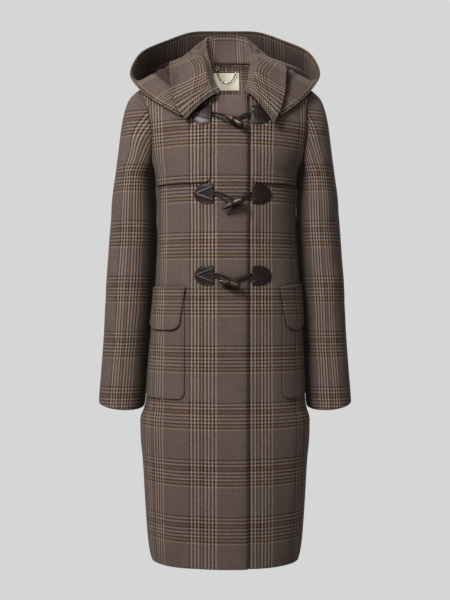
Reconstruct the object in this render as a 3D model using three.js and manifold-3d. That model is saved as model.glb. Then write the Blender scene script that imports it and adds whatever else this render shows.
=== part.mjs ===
import * as THREE from 'three';
import { mergeVertices } from 'three/addons/utils/BufferGeometryUtils.js';
import Module from 'manifold-3d';

const wasm = await Module();
wasm.setup();

// Duffle coat, worn and hollow, hood down. Millimetres, +Z up, the front faces -Y and the
// wearer's left is +X. The origin lies midway between the two points where the shoulder
// seams meet the neck, where the neck and shoulders hold the coat.

// Cloth and gaps
const clothWall = 2.5;
const liningWall = 1.5;
const labelWall = 0.8;
const seamGap = 0.3;

// Main lengths
const hemZ = -1055;
const shoulderX = 187;
const neckHalfWidth = 66;
const neckBackDepth = 70;
const neckBackZ = 15;
const shoulderSlope = 0.36;
const shoulderDrop = 0.0008;
const roundness = 2.4;

// Closure: the right front laps over the left one
const lapEdgeX = 46;
const underlapEdgeX = -14;
const lapLift = 3.9;
const lapLiftStart = -22;
const lapLiftEnd = -62;

// Armhole, an oval seen from the side
const armholeZ = -150;
const armholeHalfHeight = 95;
const armholeHalfDepth = 72;
const armpitZ = armholeZ - armholeHalfHeight;

// Sleeve
const cuffZ = -724.5;
const cuffSideTilt = 4.5;
const cuffFrontTilt = 10.5;
const sleeveSeamGap = 0.5;

// Collar and hood
const foldRadius = 2.2;
const hoodClearance = { front: 6.6, back: 3 };
const hoodNeckGap = 1.4;
const ridgeRise = 7;
const ridgeReach = { hood: 45, collar: 80 };
const hoodStack = 4.6;
const collarGap = 7;
const neckRise = 2.9;
const layerGap = 0.8;
const hoodNeckStep = 9;
const facingWidth = 48;
const collarTipDrop = 4;

// Yokes, pockets and flaps
const yokeLevelZ = -215;
const yokeSeamInset = 3.4;
const neckInset = 12;
const yokeInnerX = { right: -28.7, left: 53.5 };
const yokeBottomZ = -264.5;
const yokeOuterZ = -269;
const yokeCorner = 15;
const pocketTopZ = -486;
const pocketBottomZ = -708;
const pocketCorner = 14;
const pocketOuterAngle = 79;
const flapTopZ = -476;
const flapBottomZ = -566;
const flapCorner = 16;

// Leather patches and toggles
const patchSize = 40;
const leatherWall = 2;
const cordRadius = 1.5;
const cordEndGap = 0.9;

const deg = Math.PI / 180;
const rightSide = -1;
const leftSide = 1;
const frontFace = -1;
const backFace = 1;

const vec = (x, y, z) => new THREE.Vector3(x, y, z);
const lerp = THREE.MathUtils.lerp;
const clamp = THREE.MathUtils.clamp;
const range = (count) => Array.from({ length: count + 1 }, (_, i) => i / count);

function ease(from, to, value) {
  const t = clamp((value - from) / (to - from), 0, 1);
  return t * t * (3 - 2 * t);
}

function signedPower(value, power) {
  return Math.sign(value) * Math.abs(value) ** power;
}

// A table is a list of rows under named columns. Its first column is the key, and each other
// column becomes a smooth curve over the key that never overshoots its rows.
function table(columns, rows) {
  const sorted = [...rows].sort((p, q) => p[0] - q[0]);
  const keys = sorted.map((row) => row[0]);
  const curves = {};
  columns.slice(1).forEach((name, c) => {
    curves[name] = smoothCurve(keys, sorted.map((row) => row[c + 1]));
  });
  return curves;
}

function smoothCurve(keys, values) {
  const last = keys.length - 1;
  const slope = [];
  for (let i = 0; i < last; i += 1) {
    slope.push((values[i + 1] - values[i]) / (keys[i + 1] - keys[i]));
  }
  const tangent = keys.map((_, i) => {
    if (i === 0) return slope[0];
    if (i === last) return slope[last - 1];
    if (slope[i - 1] * slope[i] <= 0) return 0;
    return (2 * slope[i - 1] * slope[i]) / (slope[i - 1] + slope[i]);
  });
  return (key) => {
    const k = clamp(key, keys[0], keys[last]);
    let i = 0;
    while (i < last - 1 && k > keys[i + 1]) i += 1;
    const span = keys[i + 1] - keys[i];
    const t = (k - keys[i]) / span;
    const h = t * t * (3 - 2 * t);
    return values[i] * (1 - h) + values[i + 1] * h
      + span * (tangent[i] * t * (1 - t) ** 2 - tangent[i + 1] * t * t * (1 - t));
  };
}

// Body sections. lean moves both sides towards the wearer's left.
const body = table(['z', 'halfWidth', 'lean', 'front', 'back'], [
  [0, 215, 0, 122, 116],
  [-55, 205, 0, 123, 117.5],
  [-105, 193, 6, 125.5, 119],
  [-150, 184, 9.5, 127, 120],
  [-200, 170, 6, 130, 120.5],
  [-245, 153, 2.5, 131, 121],
  [-300, 149, 3, 130, 118.5],
  [-353, 149, 4, 129, 116],
  [-429, 152.5, 5, 128.5, 116.5],
  [-482, 156, 5.8, 128, 117],
  [-568, 161.5, 3.8, 129, 121],
  [-650, 167, 2.2, 130.7, 124.5],
  [-719, 171, 1.2, 132, 127],
  [-736, 175, 0.8, 132.8, 127.3],
  [-757, 181.5, 0, 134, 127.9],
  [-790, 181, 0, 133.8, 128.2],
  [-848, 176, 0, 133, 128],
  [-934, 171, 0, 132, 127.4],
  [-1009, 165.5, 0, 130.8, 126.6],
  [-1041, 161, 0, 130.3, 126.2],
  [hemZ, 157, 0, 130, 126],
]);

// Neck seam, by angle round the neck: 21 at the collar's front end, 90 at the shoulder seam,
// 180 at the centre back. shift moves both sides towards the wearer's left.
const neckSeam = table(['angle', 'halfWidth', 'shift', 'z'], [
  [21, 26, 16, -80],
  [40, 44, 11, -60],
  [60, 58, 5, -28],
  [75, 64.4, 2, -11],
  [90, neckHalfWidth, 0, 0],
]);

const collarFold = table(['angle', 'halfWidth', 'shift', 'y', 'z'], [
  [21, 24, 16, -92, -72],
  [40, 32.5, 13.5, -70, -51],
  [60, 39.2, 11.7, -41, -25],
  [80, 44, 9.5, -3, 10],
  [100, 45.5, 7, 32, 41],
  [125, 43, 3, 58, 70],
  [150, 28, 1, 69, 77],
  [180, 0, 0, 72, 78],
]);

const collarEdge = table(['angle', 'halfWidth', 'shift', 'y', 'z'], [
  [21, 90, 10, -112, -140.5],
  [35, 103, 9, -100, -118],
  [50, 112.5, 8, -82, -92],
  [65, 118, 7, -56, -62],
  [80, 117.5, 6, -26, -30],
  [95, 112, 3.5, 8, -1],
  [110, 100, 1, 38, 20],
  [130, 76, 0, 72, 38],
  [150, 48, 0, 98, 42],
  [180, 0, 0, 114, 40],
]);

// Hood, from the neck seam down into the pouch and up to the rim. Each row is one rib from
// the front end (0) to the centre back (7): the neck angle, three points and the rim.
const hoodRibs = table([
  'rib', 'angle', 'shift', 'ax', 'ay', 'az', 'bx', 'by', 'bz', 'cx', 'cy', 'cz', 'rx', 'ry', 'rz',
], [
  [0, 42, 11, 56, -80, -77, 69, -92, -93, 82, -100, -107, 102, -104, -127],
  [1, 56, 6, 75, -52, -46, 98, -58, -62, 120, -64, -77, 147, -70, -94],
  [2, 75, 1, 90, -16, -14, 118, -18, -26, 150, -18, -40, 186, -20, -54],
  [3, 95, 0, 95, 14, -9, 135, 26, -30, 184, 36, -46, 208, 25, -11],
  [4, 115, 0, 88, 52, -22, 128, 96, -74, 180, 100, -40, 189.5, 65, 40],
  [5, 138, 0, 64, 96, -48, 100, 134, -146, 138, 156, -50, 134, 105, 76],
  [6, 160, 0, 32, 108, -54, 50, 148, -194, 66, 180, -70, 63, 135, 104],
  [7, 180, 0, 0, 113, -56, 0, 151, -206, 0, 185, -76, 0, 140, 105],
]);

// Sleeve sections: outer edge, inner edge or centre, half depth and centre line in Y.
const sleeve = table(['z', 'outer', 'centre', 'halfDepth', 'centreY'], [
  [-55, 187, 160, 70, 0],
  [-63, 196, 160.5, 71, 0],
  [-74, 206, 161, 72, 0],
  [-85, 211, 162, 73, 0],
  [-106, 217, 164, 74, 0],
  [-138, 223, 168, 75, 0],
  [-171, 227, 174, 75, 0],
  [-203, 231, 182, 74, 0],
  [-245, 236.5, 194.1, 72, 0],
  [-268, 240, 195.8, 71, 0.5],
  [-300, 243.5, 197.3, 70, 1],
  [-353, 247.2, 199.2, 68, 2],
  [-429, 252.5, 203.7, 65, 3],
  [-493, 257, 208.3, 62, 2],
  [-568, 259.7, 211.9, 58.7, 0],
  [-650, 265.2, 217.7, 55, -4],
  [-719, 270, 222.5, 52, -8],
  [-736, 270.6, 223.3, 51.5, -8.5],
]);

function halfWidthAt(z, side) {
  return body.halfWidth(z) + side * body.lean(z);
}

function shoulderTop(x) {
  const d = Math.max(Math.abs(x) - neckHalfWidth, 0);
  return -(shoulderSlope * d + shoulderDrop * d * d);
}

// How the body rounds over into the shoulder: its rise in height and its power, by face.
function shoulderArch(x, face) {
  const t = clamp(Math.abs(x) / shoulderX, 0, 1);
  const neckRound = Math.sqrt(Math.max(1 - (x / neckHalfWidth) ** 2, 0));
  const back = face === backFace;
  return {
    rise: lerp(back ? 190 : 165, 120, t),
    power: lerp(back ? 1.8 : 1.35, 2, t),
    top: shoulderTop(x) + (back ? neckBackZ * neckRound : 0),
    start: back ? neckBackDepth * neckRound : 0,
  };
}

// Point of the coat's outer surface at an angle round the body (0 centre, 90 side seam)
function bodyPoint(angle, z, side, face) {
  const x = side * halfWidthAt(z, side) * signedPower(Math.sin(angle * deg), 2 / roundness);
  const depth = face === frontFace ? body.front(z) : body.back(z);
  const full = depth * signedPower(Math.cos(angle * deg), 2 / roundness);
  const arch = shoulderArch(x, face);
  const w = clamp((arch.top - z) / arch.rise, 0, 1);
  const round = (1 - (1 - w) ** arch.power) ** (1 / arch.power);
  return vec(x, face * (arch.start + (full - arch.start) * round), z);
}

function angleAt(x, z, side) {
  const ratio = clamp((side * x) / halfWidthAt(z, side), -1, 1);
  return Math.asin(signedPower(ratio, roundness / 2)) / deg;
}

function bodyNormal(angle, z, side, face) {
  const x = bodyPoint(angle, z, side, face).x;
  if (Math.abs(x) >= neckHalfWidth && shoulderTop(x) - z < 0.05) {
    const slope = shoulderSlope + 2 * shoulderDrop * (Math.abs(x) - neckHalfWidth);
    return vec(Math.sign(x) * slope, 0, 1).normalize();
  }
  const step = 0.4;
  const round = bodyPoint(angle + step, z, side, face).sub(bodyPoint(angle - step, z, side, face));
  const down = bodyPoint(angle, z - step, side, face).sub(bodyPoint(angle, z + step, side, face));
  const normal = round.cross(down).normalize();
  return normal.multiplyScalar(normal.y * face + normal.x * side >= 0 ? 1 : -1);
}

// The right front lifts a little where it laps over the left one
function lapLiftAt(x, side, face) {
  if (side === leftSide || face === backFace) return 0;
  return lapLift * ease(lapLiftEnd, lapLiftStart, x);
}

// A panel vertex: a point on the coat and its outward normal, by front-view place or by angle
function onCoat(x, z, panelSide, face = frontFace) {
  const side = x < 0 ? rightSide : leftSide;
  const angle = angleAt(x, z, side);
  const normal = bodyNormal(angle, z, side, face);
  const point = bodyPoint(angle, z, side, face);
  point.addScaledVector(normal, lapLiftAt(x, panelSide, face));
  return { point, normal };
}

function onCoatByAngle(angle, z, side, face = frontFace) {
  const normal = bodyNormal(angle, z, side, face);
  return { point: bodyPoint(angle, z, side, face), normal };
}

// Widest x of the surface at a height and depth, found by halving
function sideX(y, z, side, face) {
  let low = 30;
  let high = halfWidthAt(z, side);
  if (Math.abs(y) < 1e-6 && z > shoulderTop(high)) {
    low = neckHalfWidth;
    for (let i = 0; i < 40; i += 1) {
      const middle = (low + high) / 2;
      if (shoulderTop(middle) > z) low = middle;
      else high = middle;
    }
    return side * low;
  }
  for (let i = 0; i < 40; i += 1) {
    const middle = (low + high) / 2;
    const point = bodyPoint(angleAt(side * middle, z, side), z, side, face);
    if (Math.abs(point.y) > Math.abs(y)) low = middle;
    else high = middle;
  }
  return side * low;
}

// Armhole vertex at an angle round the oval: 0 top, 90 front, 180 armpit, 270 back
function armholeVertex(theta, side, inset) {
  const z = armholeZ + (armholeHalfHeight - inset) * Math.cos(theta * deg);
  const y = -(armholeHalfDepth - inset) * Math.sin(theta * deg);
  const face = theta <= 180 ? frontFace : backFace;
  const x = sideX(y, z, side, face);
  const angle = angleAt(x, z, side);
  const normal = bodyNormal(angle, z, side, face);
  if (theta === 180) normal.set(side, 0, 0);
  return { point: vec(x, y, z), normal };
}

function neckVertex(angle, side) {
  if (angle >= 90) {
    const round = (180 - angle) * deg;
    return vec(
      side * neckHalfWidth * Math.sin(round),
      neckBackDepth * Math.cos(round),
      neckBackZ * Math.cos(round),
    );
  }
  const x = side * neckSeam.halfWidth(angle) + neckSeam.shift(angle);
  const z = neckSeam.z(angle);
  return onCoat(x, z, side).point.setZ(z);
}

// Grid of vertices to a closed wall: outer points, inner points and a strip round the edges
function wallMesh(name, grid, thickness, color, { loop = false, roughness: rough = 0.95 } = {}) {
  const outer = grid.map((row) => row.map((v) => v.point.clone()));
  const inner = grid.map((row) => row.map((v) => (
    v.point.clone().addScaledVector(v.normal, -thickness)
  )));
  return closedMesh(name, outer, inner, color, loop, rough);
}

function closedMesh(name, outer, inner, color, loop, rough) {
  const rows = outer.length;
  const columns = outer[0].length;
  const positions = [];
  [...outer.flat(), ...inner.flat()].forEach((p) => positions.push(p.x, p.y, p.z));
  const top = (r, c) => r * columns + (c % columns);
  const under = (r, c) => rows * columns + top(r, c);
  const index = [];
  const quad = (a, b, c, d) => index.push(a, b, c, a, c, d);
  const lastColumn = loop ? columns : columns - 1;
  for (let r = 0; r < rows - 1; r += 1) {
    for (let c = 0; c < lastColumn; c += 1) {
      quad(top(r, c), top(r + 1, c), top(r + 1, c + 1), top(r, c + 1));
      quad(under(r, c), under(r, c + 1), under(r + 1, c + 1), under(r + 1, c));
    }
  }
  for (let c = 0; c < lastColumn; c += 1) {
    quad(top(0, c), top(0, c + 1), under(0, c + 1), under(0, c));
    quad(top(rows - 1, c), under(rows - 1, c), under(rows - 1, c + 1), top(rows - 1, c + 1));
  }
  if (!loop) {
    for (let r = 0; r < rows - 1; r += 1) {
      quad(top(r, 0), under(r, 0), under(r + 1, 0), top(r + 1, 0));
      const end = columns - 1;
      quad(top(r, end), top(r + 1, end), under(r + 1, end), under(r, end));
    }
  }
  return meshFrom(name, positions, index, color, rough);
}

function meshFrom(name, positions, index, color, rough) {
  let volume = 0;
  const at = (i) => vec(positions[3 * i], positions[3 * i + 1], positions[3 * i + 2]);
  for (let i = 0; i < index.length; i += 3) {
    volume += at(index[i]).dot(at(index[i + 1]).cross(at(index[i + 2])));
  }
  if (volume < 0) index.reverse();
  const geometry = new THREE.BufferGeometry();
  geometry.setAttribute('position', new THREE.Float32BufferAttribute(positions, 3));
  geometry.setIndex(index);
  geometry.computeVertexNormals();
  return namedMesh(name, geometry, color, rough);
}

function namedMesh(name, geometry, color, rough = 0.95) {
  const material = new THREE.MeshStandardMaterial({ color, roughness: rough, metalness: 0 });
  const mesh = new THREE.Mesh(geometry, material);
  mesh.name = name;
  return mesh;
}

const woolColor = '#6a5c54';
const satinColor = '#3a2624';
const leatherColor = '#2a1c1a';
const hornColor = '#5a3b2a';
const cordColor = '#1e1817';
const steelColor = '#c9c9c9';
const labelColor = '#cfc5ab';

// Rows below the armpit, shared by both fronts and the back so that their seams match
const skirtRows = [-300, -353, -429, -500, -576, -650, -712, -736, -757, -800, -880, -970, -1025, hemZ];
const armholeSteps = 8;

// Upper boundary of a front, from its closure edge along the neck and the shoulder seam
function frontTop(side, closureX) {
  const points = [];
  const neckEndX = side * neckSeam.halfWidth(21) + neckSeam.shift(21);
  const neckEndZ = neckSeam.z(21);
  range(3).slice(0, -1).forEach((t) => {
    points.push([lerp(closureX, neckEndX, t), neckEndZ]);
  });
  [21, 34, 48, 62, 76].forEach((angle) => {
    points.push([side * neckSeam.halfWidth(angle) + neckSeam.shift(angle), neckSeam.z(angle)]);
  });
  range(5).forEach((t) => {
    const x = side * lerp(neckHalfWidth, shoulderX, t);
    points.push([x, shoulderTop(x)]);
  });
  return points;
}

// A front is one grid: its columns run from the closure to the armhole and side seam, its
// upper rows blend from the neck and shoulder line to the armpit level.
function frontGrid(side, closureX) {
  const top = frontTop(side, closureX);
  const count = top.length - 1;
  const seam = (v) => {
    v.point.y -= seamGap / 2;
    return v;
  };
  const angleRow = (z, c) => {
    const startAngle = angleAt(closureX, z, side);
    const t = c / count;
    return lerp(startAngle, 90, t);
  };
  const lapped = (angle, z) => {
    const vertex = onCoatByAngle(angle, z, side);
    const lift = lapLiftAt(vertex.point.x, side, frontFace);
    return { point: vertex.point.addScaledVector(vertex.normal, lift), normal: vertex.normal };
  };
  const grid = [];
  for (let r = 0; r <= armholeSteps; r += 1) {
    const theta = (180 * r) / armholeSteps;
    const edge = armholeVertex(theta, side, 0);
    const t = (1 - Math.cos(theta * deg)) / 2;
    const bottomEndX = side * halfWidthAt(armpitZ, side);
    const row = [];
    for (let c = 0; c <= count; c += 1) {
      const s = c / count;
      if (c === count) {
        row.push(seam({ point: edge.point.clone(), normal: edge.normal }));
      } else if (r === armholeSteps) {
        row.push(seam(lapped(angleRow(armpitZ, c), armpitZ)));
      } else {
        const bottomX = bodyPoint(angleRow(armpitZ, c), armpitZ, side, frontFace).x;
        const straightX = lerp(top[c][0], bottomX, t);
        const endX = lerp(side * shoulderX, bottomEndX, t);
        const x = straightX + s * s * (edge.point.x - endX);
        const z = lerp(top[c][1], armpitZ, t);
        const vertex = onCoat(x, Math.min(z, shoulderTop(x)), side);
        row.push(seam(vertex));
      }
    }
    grid.push(row);
  }
  skirtRows.forEach((z) => {
    const row = [];
    for (let c = 0; c <= count; c += 1) row.push(seam(lapped(angleRow(z, c), z)));
    grid.push(row);
  });
  return grid;
}

// Upper boundary of the back's half: neck from the centre, then the shoulder seam
function backTop() {
  const points = [];
  [180, 158, 138, 120, 105].forEach((angle) => {
    const p = neckVertex(angle, leftSide);
    points.push([p.x, p.z]);
  });
  range(5).forEach((t) => {
    const x = lerp(neckHalfWidth, shoulderX, t);
    points.push([x, shoulderTop(x)]);
  });
  return points;
}

function backGrid() {
  const top = backTop();
  const count = top.length - 1;
  const half = (side) => {
    const grid = [];
    const seam = (v) => {
      v.point.y += seamGap / 2;
      return v;
    };
    for (let r = 0; r <= armholeSteps; r += 1) {
      const theta = 360 - (180 * r) / armholeSteps;
      const edge = armholeVertex(theta === 360 ? 0 : theta, side, 0);
      const t = (1 - Math.cos(theta * deg)) / 2;
      const bottomEndX = side * halfWidthAt(armpitZ, side);
      const row = [];
      for (let c = 0; c <= count; c += 1) {
        const s = c / count;
        const angle = (90 * c) / count;
        if (c === count) {
          row.push(seam({ point: edge.point.clone(), normal: edge.normal }));
        } else if (r === armholeSteps) {
          row.push(seam(onCoatByAngle(angle, armpitZ, side, backFace)));
        } else {
          const bottomX = bodyPoint(angle, armpitZ, side, backFace).x;
          const endX = lerp(side * shoulderX, bottomEndX, t);
          const x = lerp(side * top[c][0], bottomX, t) + s * s * (edge.point.x - endX);
          const z = lerp(top[c][1], armpitZ, t);
          const limit = shoulderArch(x, backFace).top;
          row.push(seam(onCoat(x, Math.min(z, limit), side, backFace)));
        }
      }
      grid.push(row);
    }
    skirtRows.forEach((z) => {
      grid.push(range(count).map((s) => seam(onCoatByAngle(90 * s, z, side, backFace))));
    });
    return grid;
  };
  const left = half(leftSide);
  const right = half(rightSide);
  return left.map((row, r) => [...right[r].slice(1).reverse(), ...row]);
}

// Sleeve: sections worked out by height, with the armhole's shape fading out below it
const sleeveRows = [0, 0.015, 0.04, 0.08, 0.14, 0.22, 0.32, 0.43, 0.54, 0.65, 0.76, 0.86, 0.94, 1];
const sleeveSteps = 2 * armholeSteps;

function sleeveSection(theta, z, side) {
  const lean = side * body.lean(z) * ease(-150, -245, z);
  const outer = sleeve.outer(z);
  const centre = sleeve.centre(z) + lean / 2;
  const half = outer - centre;
  return vec(
    side * (centre + half * Math.cos(theta * deg)),
    sleeve.centreY(z) - sleeve.halfDepth(z) * Math.sin(theta * deg),
    z,
  );
}

function sleeveGrid(side) {
  const points = sleeveRows.map((w) => {
    const row = [];
    for (let c = 0; c < sleeveSteps; c += 1) {
      const theta = (360 * c) / sleeveSteps;
      const start = armholeVertex(theta, side, sleeveSeamGap);
      if (theta === 180) start.point.x += side * 0.6;
      const endZ = cuffZ + cuffSideTilt * Math.cos(theta * deg) - cuffFrontTilt * Math.sin(theta * deg);
      const fade = (1 - Math.min(w / 0.1, 1)) ** 2;
      const correction = start.point.clone().sub(sleeveSection(theta, start.point.z, side));
      const point = sleeveSection(theta, lerp(start.point.z, endZ, w), side);
      row.push(point.addScaledVector(correction, fade));
    }
    return row;
  });
  const normals = gridNormals(points, true, side === leftSide ? -1 : 1);
  return points.map((row, r) => row.map((point, c) => {
    const theta = (360 * c) / sleeveSteps;
    const normal = normals[r][c];
    if (r === 0) {
      const fromTop = Math.min(theta, 360 - theta);
      normal.lerp(armholeVertex(theta, side, 0).normal, 1 - ease(80, 150, fromTop)).normalize();
    }
    return { point, normal };
  }));
}

// Normals of a point grid, from the mean directions of its rows and columns
function gridNormals(points, loop, sign) {
  const rows = points.length;
  const columns = points[0].length;
  const between = (a, b, c) => {
    const before = a ? b.clone().sub(a).normalize() : vec(0, 0, 0);
    const after = c ? c.clone().sub(b).normalize() : vec(0, 0, 0);
    return before.add(after);
  };
  return points.map((row, r) => row.map((point, c) => {
    const along = loop
      ? between(row[(c + columns - 1) % columns], point, row[(c + 1) % columns])
      : between(row[c - 1], point, row[c + 1]);
    const across = between(
      r > 0 ? points[r - 1][c] : null,
      point,
      r < rows - 1 ? points[r + 1][c] : null,
    );
    return along.cross(across).normalize().multiplyScalar(-sign);
  }));
}

// Distance of a point outside the body, taken near its shoulders, chest and upper back
function bodyDistance(p) {
  const side = p.x < 0 ? rightSide : leftSide;
  const face = p.y < 0 ? frontFace : backFace;
  const level = (x, y, z) => {
    const arch = shoulderArch(x, face);
    const half = halfWidthAt(z, side);
    const depth = face === frontFace ? body.front(z) : body.back(z);
    const plan = Math.max(1 - Math.min(Math.abs(x) / half, 0.98) ** roundness, 0) ** (1 / roundness);
    const full = depth * plan - arch.start;
    const up = Math.max((z - (arch.top - arch.rise)) / arch.rise, 0);
    const out = Math.max((Math.abs(y) - arch.start) / full, 0);
    return (out ** arch.power + up ** arch.power) ** (1 / arch.power) - 1;
  };
  const value = level(p.x, p.y, p.z);
  const step = 0.5;
  const gradient = vec(
    level(p.x + step, p.y, p.z) - level(p.x - step, p.y, p.z),
    level(p.x, p.y + step * face, p.z) * face - level(p.x, p.y - step * face, p.z) * face,
    level(p.x, p.y, p.z + step) - level(p.x, p.y, p.z - step),
  ).divideScalar(2 * step);
  const steep = Math.max(gradient.length(), 1e-4);
  return { distance: value / steep, direction: gradient.divideScalar(steep) };
}

// Moves a point out until it is a given distance from the body. forward turns the move from
// the body's normal (0) to straight forward (1), where the place in the front view stays.
function keepClear(point, gap, forward = 0) {
  const p = point.clone();
  for (let i = 0; i < 6; i += 1) {
    const { distance, direction } = bodyDistance(p);
    const short = gap - distance;
    if (short > 0) {
      const way = direction.clone().lerp(vec(0, -1, 0), forward).normalize();
      p.addScaledVector(way, short / Math.max(way.dot(direction), 0.4));
    }
  }
  return p;
}

// Room under the hood and the collar: more in front, where the yokes are, and on the shoulder
function roomAt(y, reach) {
  const ridge = ridgeRise * Math.max(1 - (y / reach) ** 2, 0);
  return lerp(hoodClearance.back, hoodClearance.front, ease(30, 8, y)) + ridge;
}

const hoodGapAt = (y) => roomAt(y, ridgeReach.hood);
const collarGapAt = (y) => roomAt(y, ridgeReach.collar) + hoodStack + collarGap;

// Collar: the stand rises from the neck seam to the fold, and the fall comes down outside it
const collarAngles = [21, 34, 48, 62, 69, 76, 83, 90, 97, 105, 120, 138, 158, 180];
const standRows = [0, 0.5, 1];
const fallRows = [0.2, 0.45, 0.72, 1];

function collarRib(angle, side) {
  const rowPoint = (rows) => vec(
    side * rows.halfWidth(angle) + rows.shift(angle),
    rows.y(angle),
    rows.z(angle),
  );
  const fold = rowPoint(collarFold);
  const forward = ease(112, 60, angle);
  const edgePlace = rowPoint(collarEdge);
  if (angle === 21) edgePlace.z -= side * collarTipDrop;
  const edge = keepClear(edgePlace, collarGapAt(edgePlace.y), forward);
  const neck = neckVertex(angle, side);
  const up = fold.clone().sub(neck).normalize();
  const outward = edge.clone().sub(fold);
  outward.addScaledVector(up, -outward.dot(up)).normalize();
  const base = neck.clone().addScaledVector(up, neckRise)
    .addScaledVector(outward, -clothWall / 2 - 0.2);
  const standTop = fold.clone().addScaledVector(up, -foldRadius);
  const points = standRows.map((t) => base.clone().lerp(standTop, t));
  const centre = standTop.clone().addScaledVector(outward, foldRadius);
  [45, 90, 135].forEach((turn) => {
    points.push(centre.clone()
      .addScaledVector(outward, -foldRadius * Math.cos(turn * deg))
      .addScaledVector(up, foldRadius * Math.sin(turn * deg)));
  });
  const fallTop = centre.clone().addScaledVector(outward, foldRadius);
  const bulge = edge.clone().sub(fallTop).length() * 0.07;
  fallRows.forEach((t) => {
    const p = fallTop.clone().lerp(edge, t);
    p.addScaledVector(up, bulge * Math.sin(Math.PI * t));
    points.push(keepClear(p, collarGapAt(p.y) * ease(0, 0.2, t), forward));
  });
  return points;
}

function acrossTheBack(angles, rib) {
  const right = angles.map((angle) => rib(angle, rightSide));
  const left = angles.slice(0, -1).reverse().map((angle) => rib(angle, leftSide));
  const ribs = [...right, ...left];
  return ribs[0].map((_, r) => ribs.map((points) => points[r]));
}

function collarMesh() {
  const middle = acrossTheBack(collarAngles, collarRib);
  const normals = gridNormals(middle, false, -1);
  const grid = middle.map((row, r) => row.map((p, c) => ({
    point: p.clone().addScaledVector(normals[r][c], clothWall / 2),
    normal: normals[r][c],
  })));
  return wallMesh('collar', grid, clothWall, woolColor);
}

// Hood: each rib is a smooth curve through its five points, kept clear of the coat
const hoodSamples = 32;
const liningRows = 13;
const facingRows = 3;
const hoodRowPower = 1.4;

function hoodRib(rib, side) {
  const row = (name) => hoodRibs[name](rib);
  const shift = row('shift');
  const neck = neckVertex(row('angle'), side);
  const away = vec(side * row('ax') + shift, row('ay'), row('az')).sub(neck).normalize();
  neck.addScaledVector(away, hoodNeckStep);
  const key = (name) => vec(side * row(`${name}x`) + shift, row(`${name}y`), row(`${name}z`));
  const curve = new THREE.CatmullRomCurve3([neck, key('a'), key('b'), key('c'), key('r')]);
  curve.curveType = 'centripetal';
  const points = range(hoodSamples).map((t) => {
    const p = curve.getPoint(t);
    const lap = p.y < 0 ? lapLiftAt(p.x, side, frontFace) : 0;
    const gap = lap + lerp(hoodNeckGap, hoodGapAt(p.y), ease(0, 0.06, t));
    return keepClear(p, gap, ease(3.2, 1.2, rib) * ease(0.05, 0.6, t));
  });
  return points;
}

function resample(points, fractions) {
  const lengths = [0];
  points.slice(1).forEach((p, i) => lengths.push(lengths[i] + p.distanceTo(points[i])));
  const total = lengths[lengths.length - 1];
  return fractions(total).map((fraction) => {
    const target = fraction * total;
    let i = 0;
    while (i < points.length - 2 && lengths[i + 1] < target) i += 1;
    const t = (target - lengths[i]) / (lengths[i + 1] - lengths[i]);
    return points[i].clone().lerp(points[i + 1], t);
  });
}

const hoodRibPlaces = [0, 0.6, 1.2, 1.7, 2.1, 2.45, 2.8, 3.2, 3.7, 4.2, 4.8, 5.5, 6.25, 7];

function hoodMeshes() {
  const fractions = (total) => {
    const split = 1 - facingWidth / total;
    const inside = range(liningRows).map((t) => split * t ** hoodRowPower);
    const facing = range(facingRows).slice(1).map((t) => lerp(split, 1, t));
    return [...inside, ...facing];
  };
  const outer = acrossTheBack(hoodRibPlaces, (rib, side) => resample(hoodRib(rib, side), fractions));
  const normals = gridNormals(outer, false, 1);
  const layer = (name, from, to, start, wall, color, rough) => {
    const grid = outer.slice(from, to + 1).map((row, r) => row.map((p, c) => {
      const normal = normals[r + from][c];
      return { point: p.clone().addScaledVector(normal, -start), normal };
    }));
    return { name, grid, wall, color, rough };
  };
  const innerStart = clothWall + layerGap;
  const shell = layer('hood_shell', 0, liningRows + facingRows, 0, clothWall, woolColor, 0.95);
  const lining = layer('hood_lining', 0, liningRows, innerStart, liningWall, satinColor, 0.4);
  const facing = layer(
    'hood_facing', liningRows, liningRows + facingRows, innerStart, liningWall, woolColor, 0.95,
  );
  const last = lining.grid.length - 1;
  lining.grid[last] = lining.grid[last].map((vertex, c) => {
    const step = lining.grid[last - 1][c].point.clone().sub(vertex.point).normalize();
    return { point: vertex.point.clone().addScaledVector(step, seamGap), normal: vertex.normal };
  });
  return [shell, lining, facing].map((part) => (
    wallMesh(part.name, part.grid, part.wall, part.color, { roughness: part.rough })
  ));
}

// A closed solid of a mesh, for cutting
function solidOf(mesh) {
  let geometry = mesh.geometry.clone();
  geometry.deleteAttribute('normal');
  geometry.deleteAttribute('uv');
  geometry = mergeVertices(geometry, 1e-4);
  return new wasm.Manifold(new wasm.Mesh({
    numProp: 3,
    vertProperties: new Float32Array(geometry.attributes.position.array),
    triVerts: new Uint32Array(geometry.index.array),
  }));
}

// What lies on a panel is the panel's own wall moved out along its normals and cut to an
// outline drawn in the front view, so that it follows the panel's points all over.
function laidPiece(name, panel, outline, { lift, wall, color, face = frontFace, rough = 0.95 }) {
  const grid = panel.map((row) => row.map(({ point, normal }) => (
    { point: point.clone().addScaledVector(normal, lift + wall), normal }
  )));
  const layer = solidOf(wallMesh('layer', grid, wall, color));
  const shape = new THREE.Shape(outline.map(([x, z]) => new THREE.Vector2(x, z)));
  const prism = new THREE.ExtrudeGeometry(shape, { depth: 260, bevelEnabled: false });
  prism.rotateX(face === frontFace ? 90 * deg : -90 * deg);
  if (face === backFace) prism.scale(1, 1, -1);
  const corners = [...prism.attributes.position.array];
  const cutter = solidOf(meshFrom('cutter', corners, prismIndex(prism), color, 1));
  const result = layer.intersect(cutter).getMesh();
  return meshFrom(name, [...result.vertProperties], [...result.triVerts], color, rough);
}

function prismIndex(geometry) {
  return Array.from({ length: geometry.attributes.position.count }, (_, i) => i);
}

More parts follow.
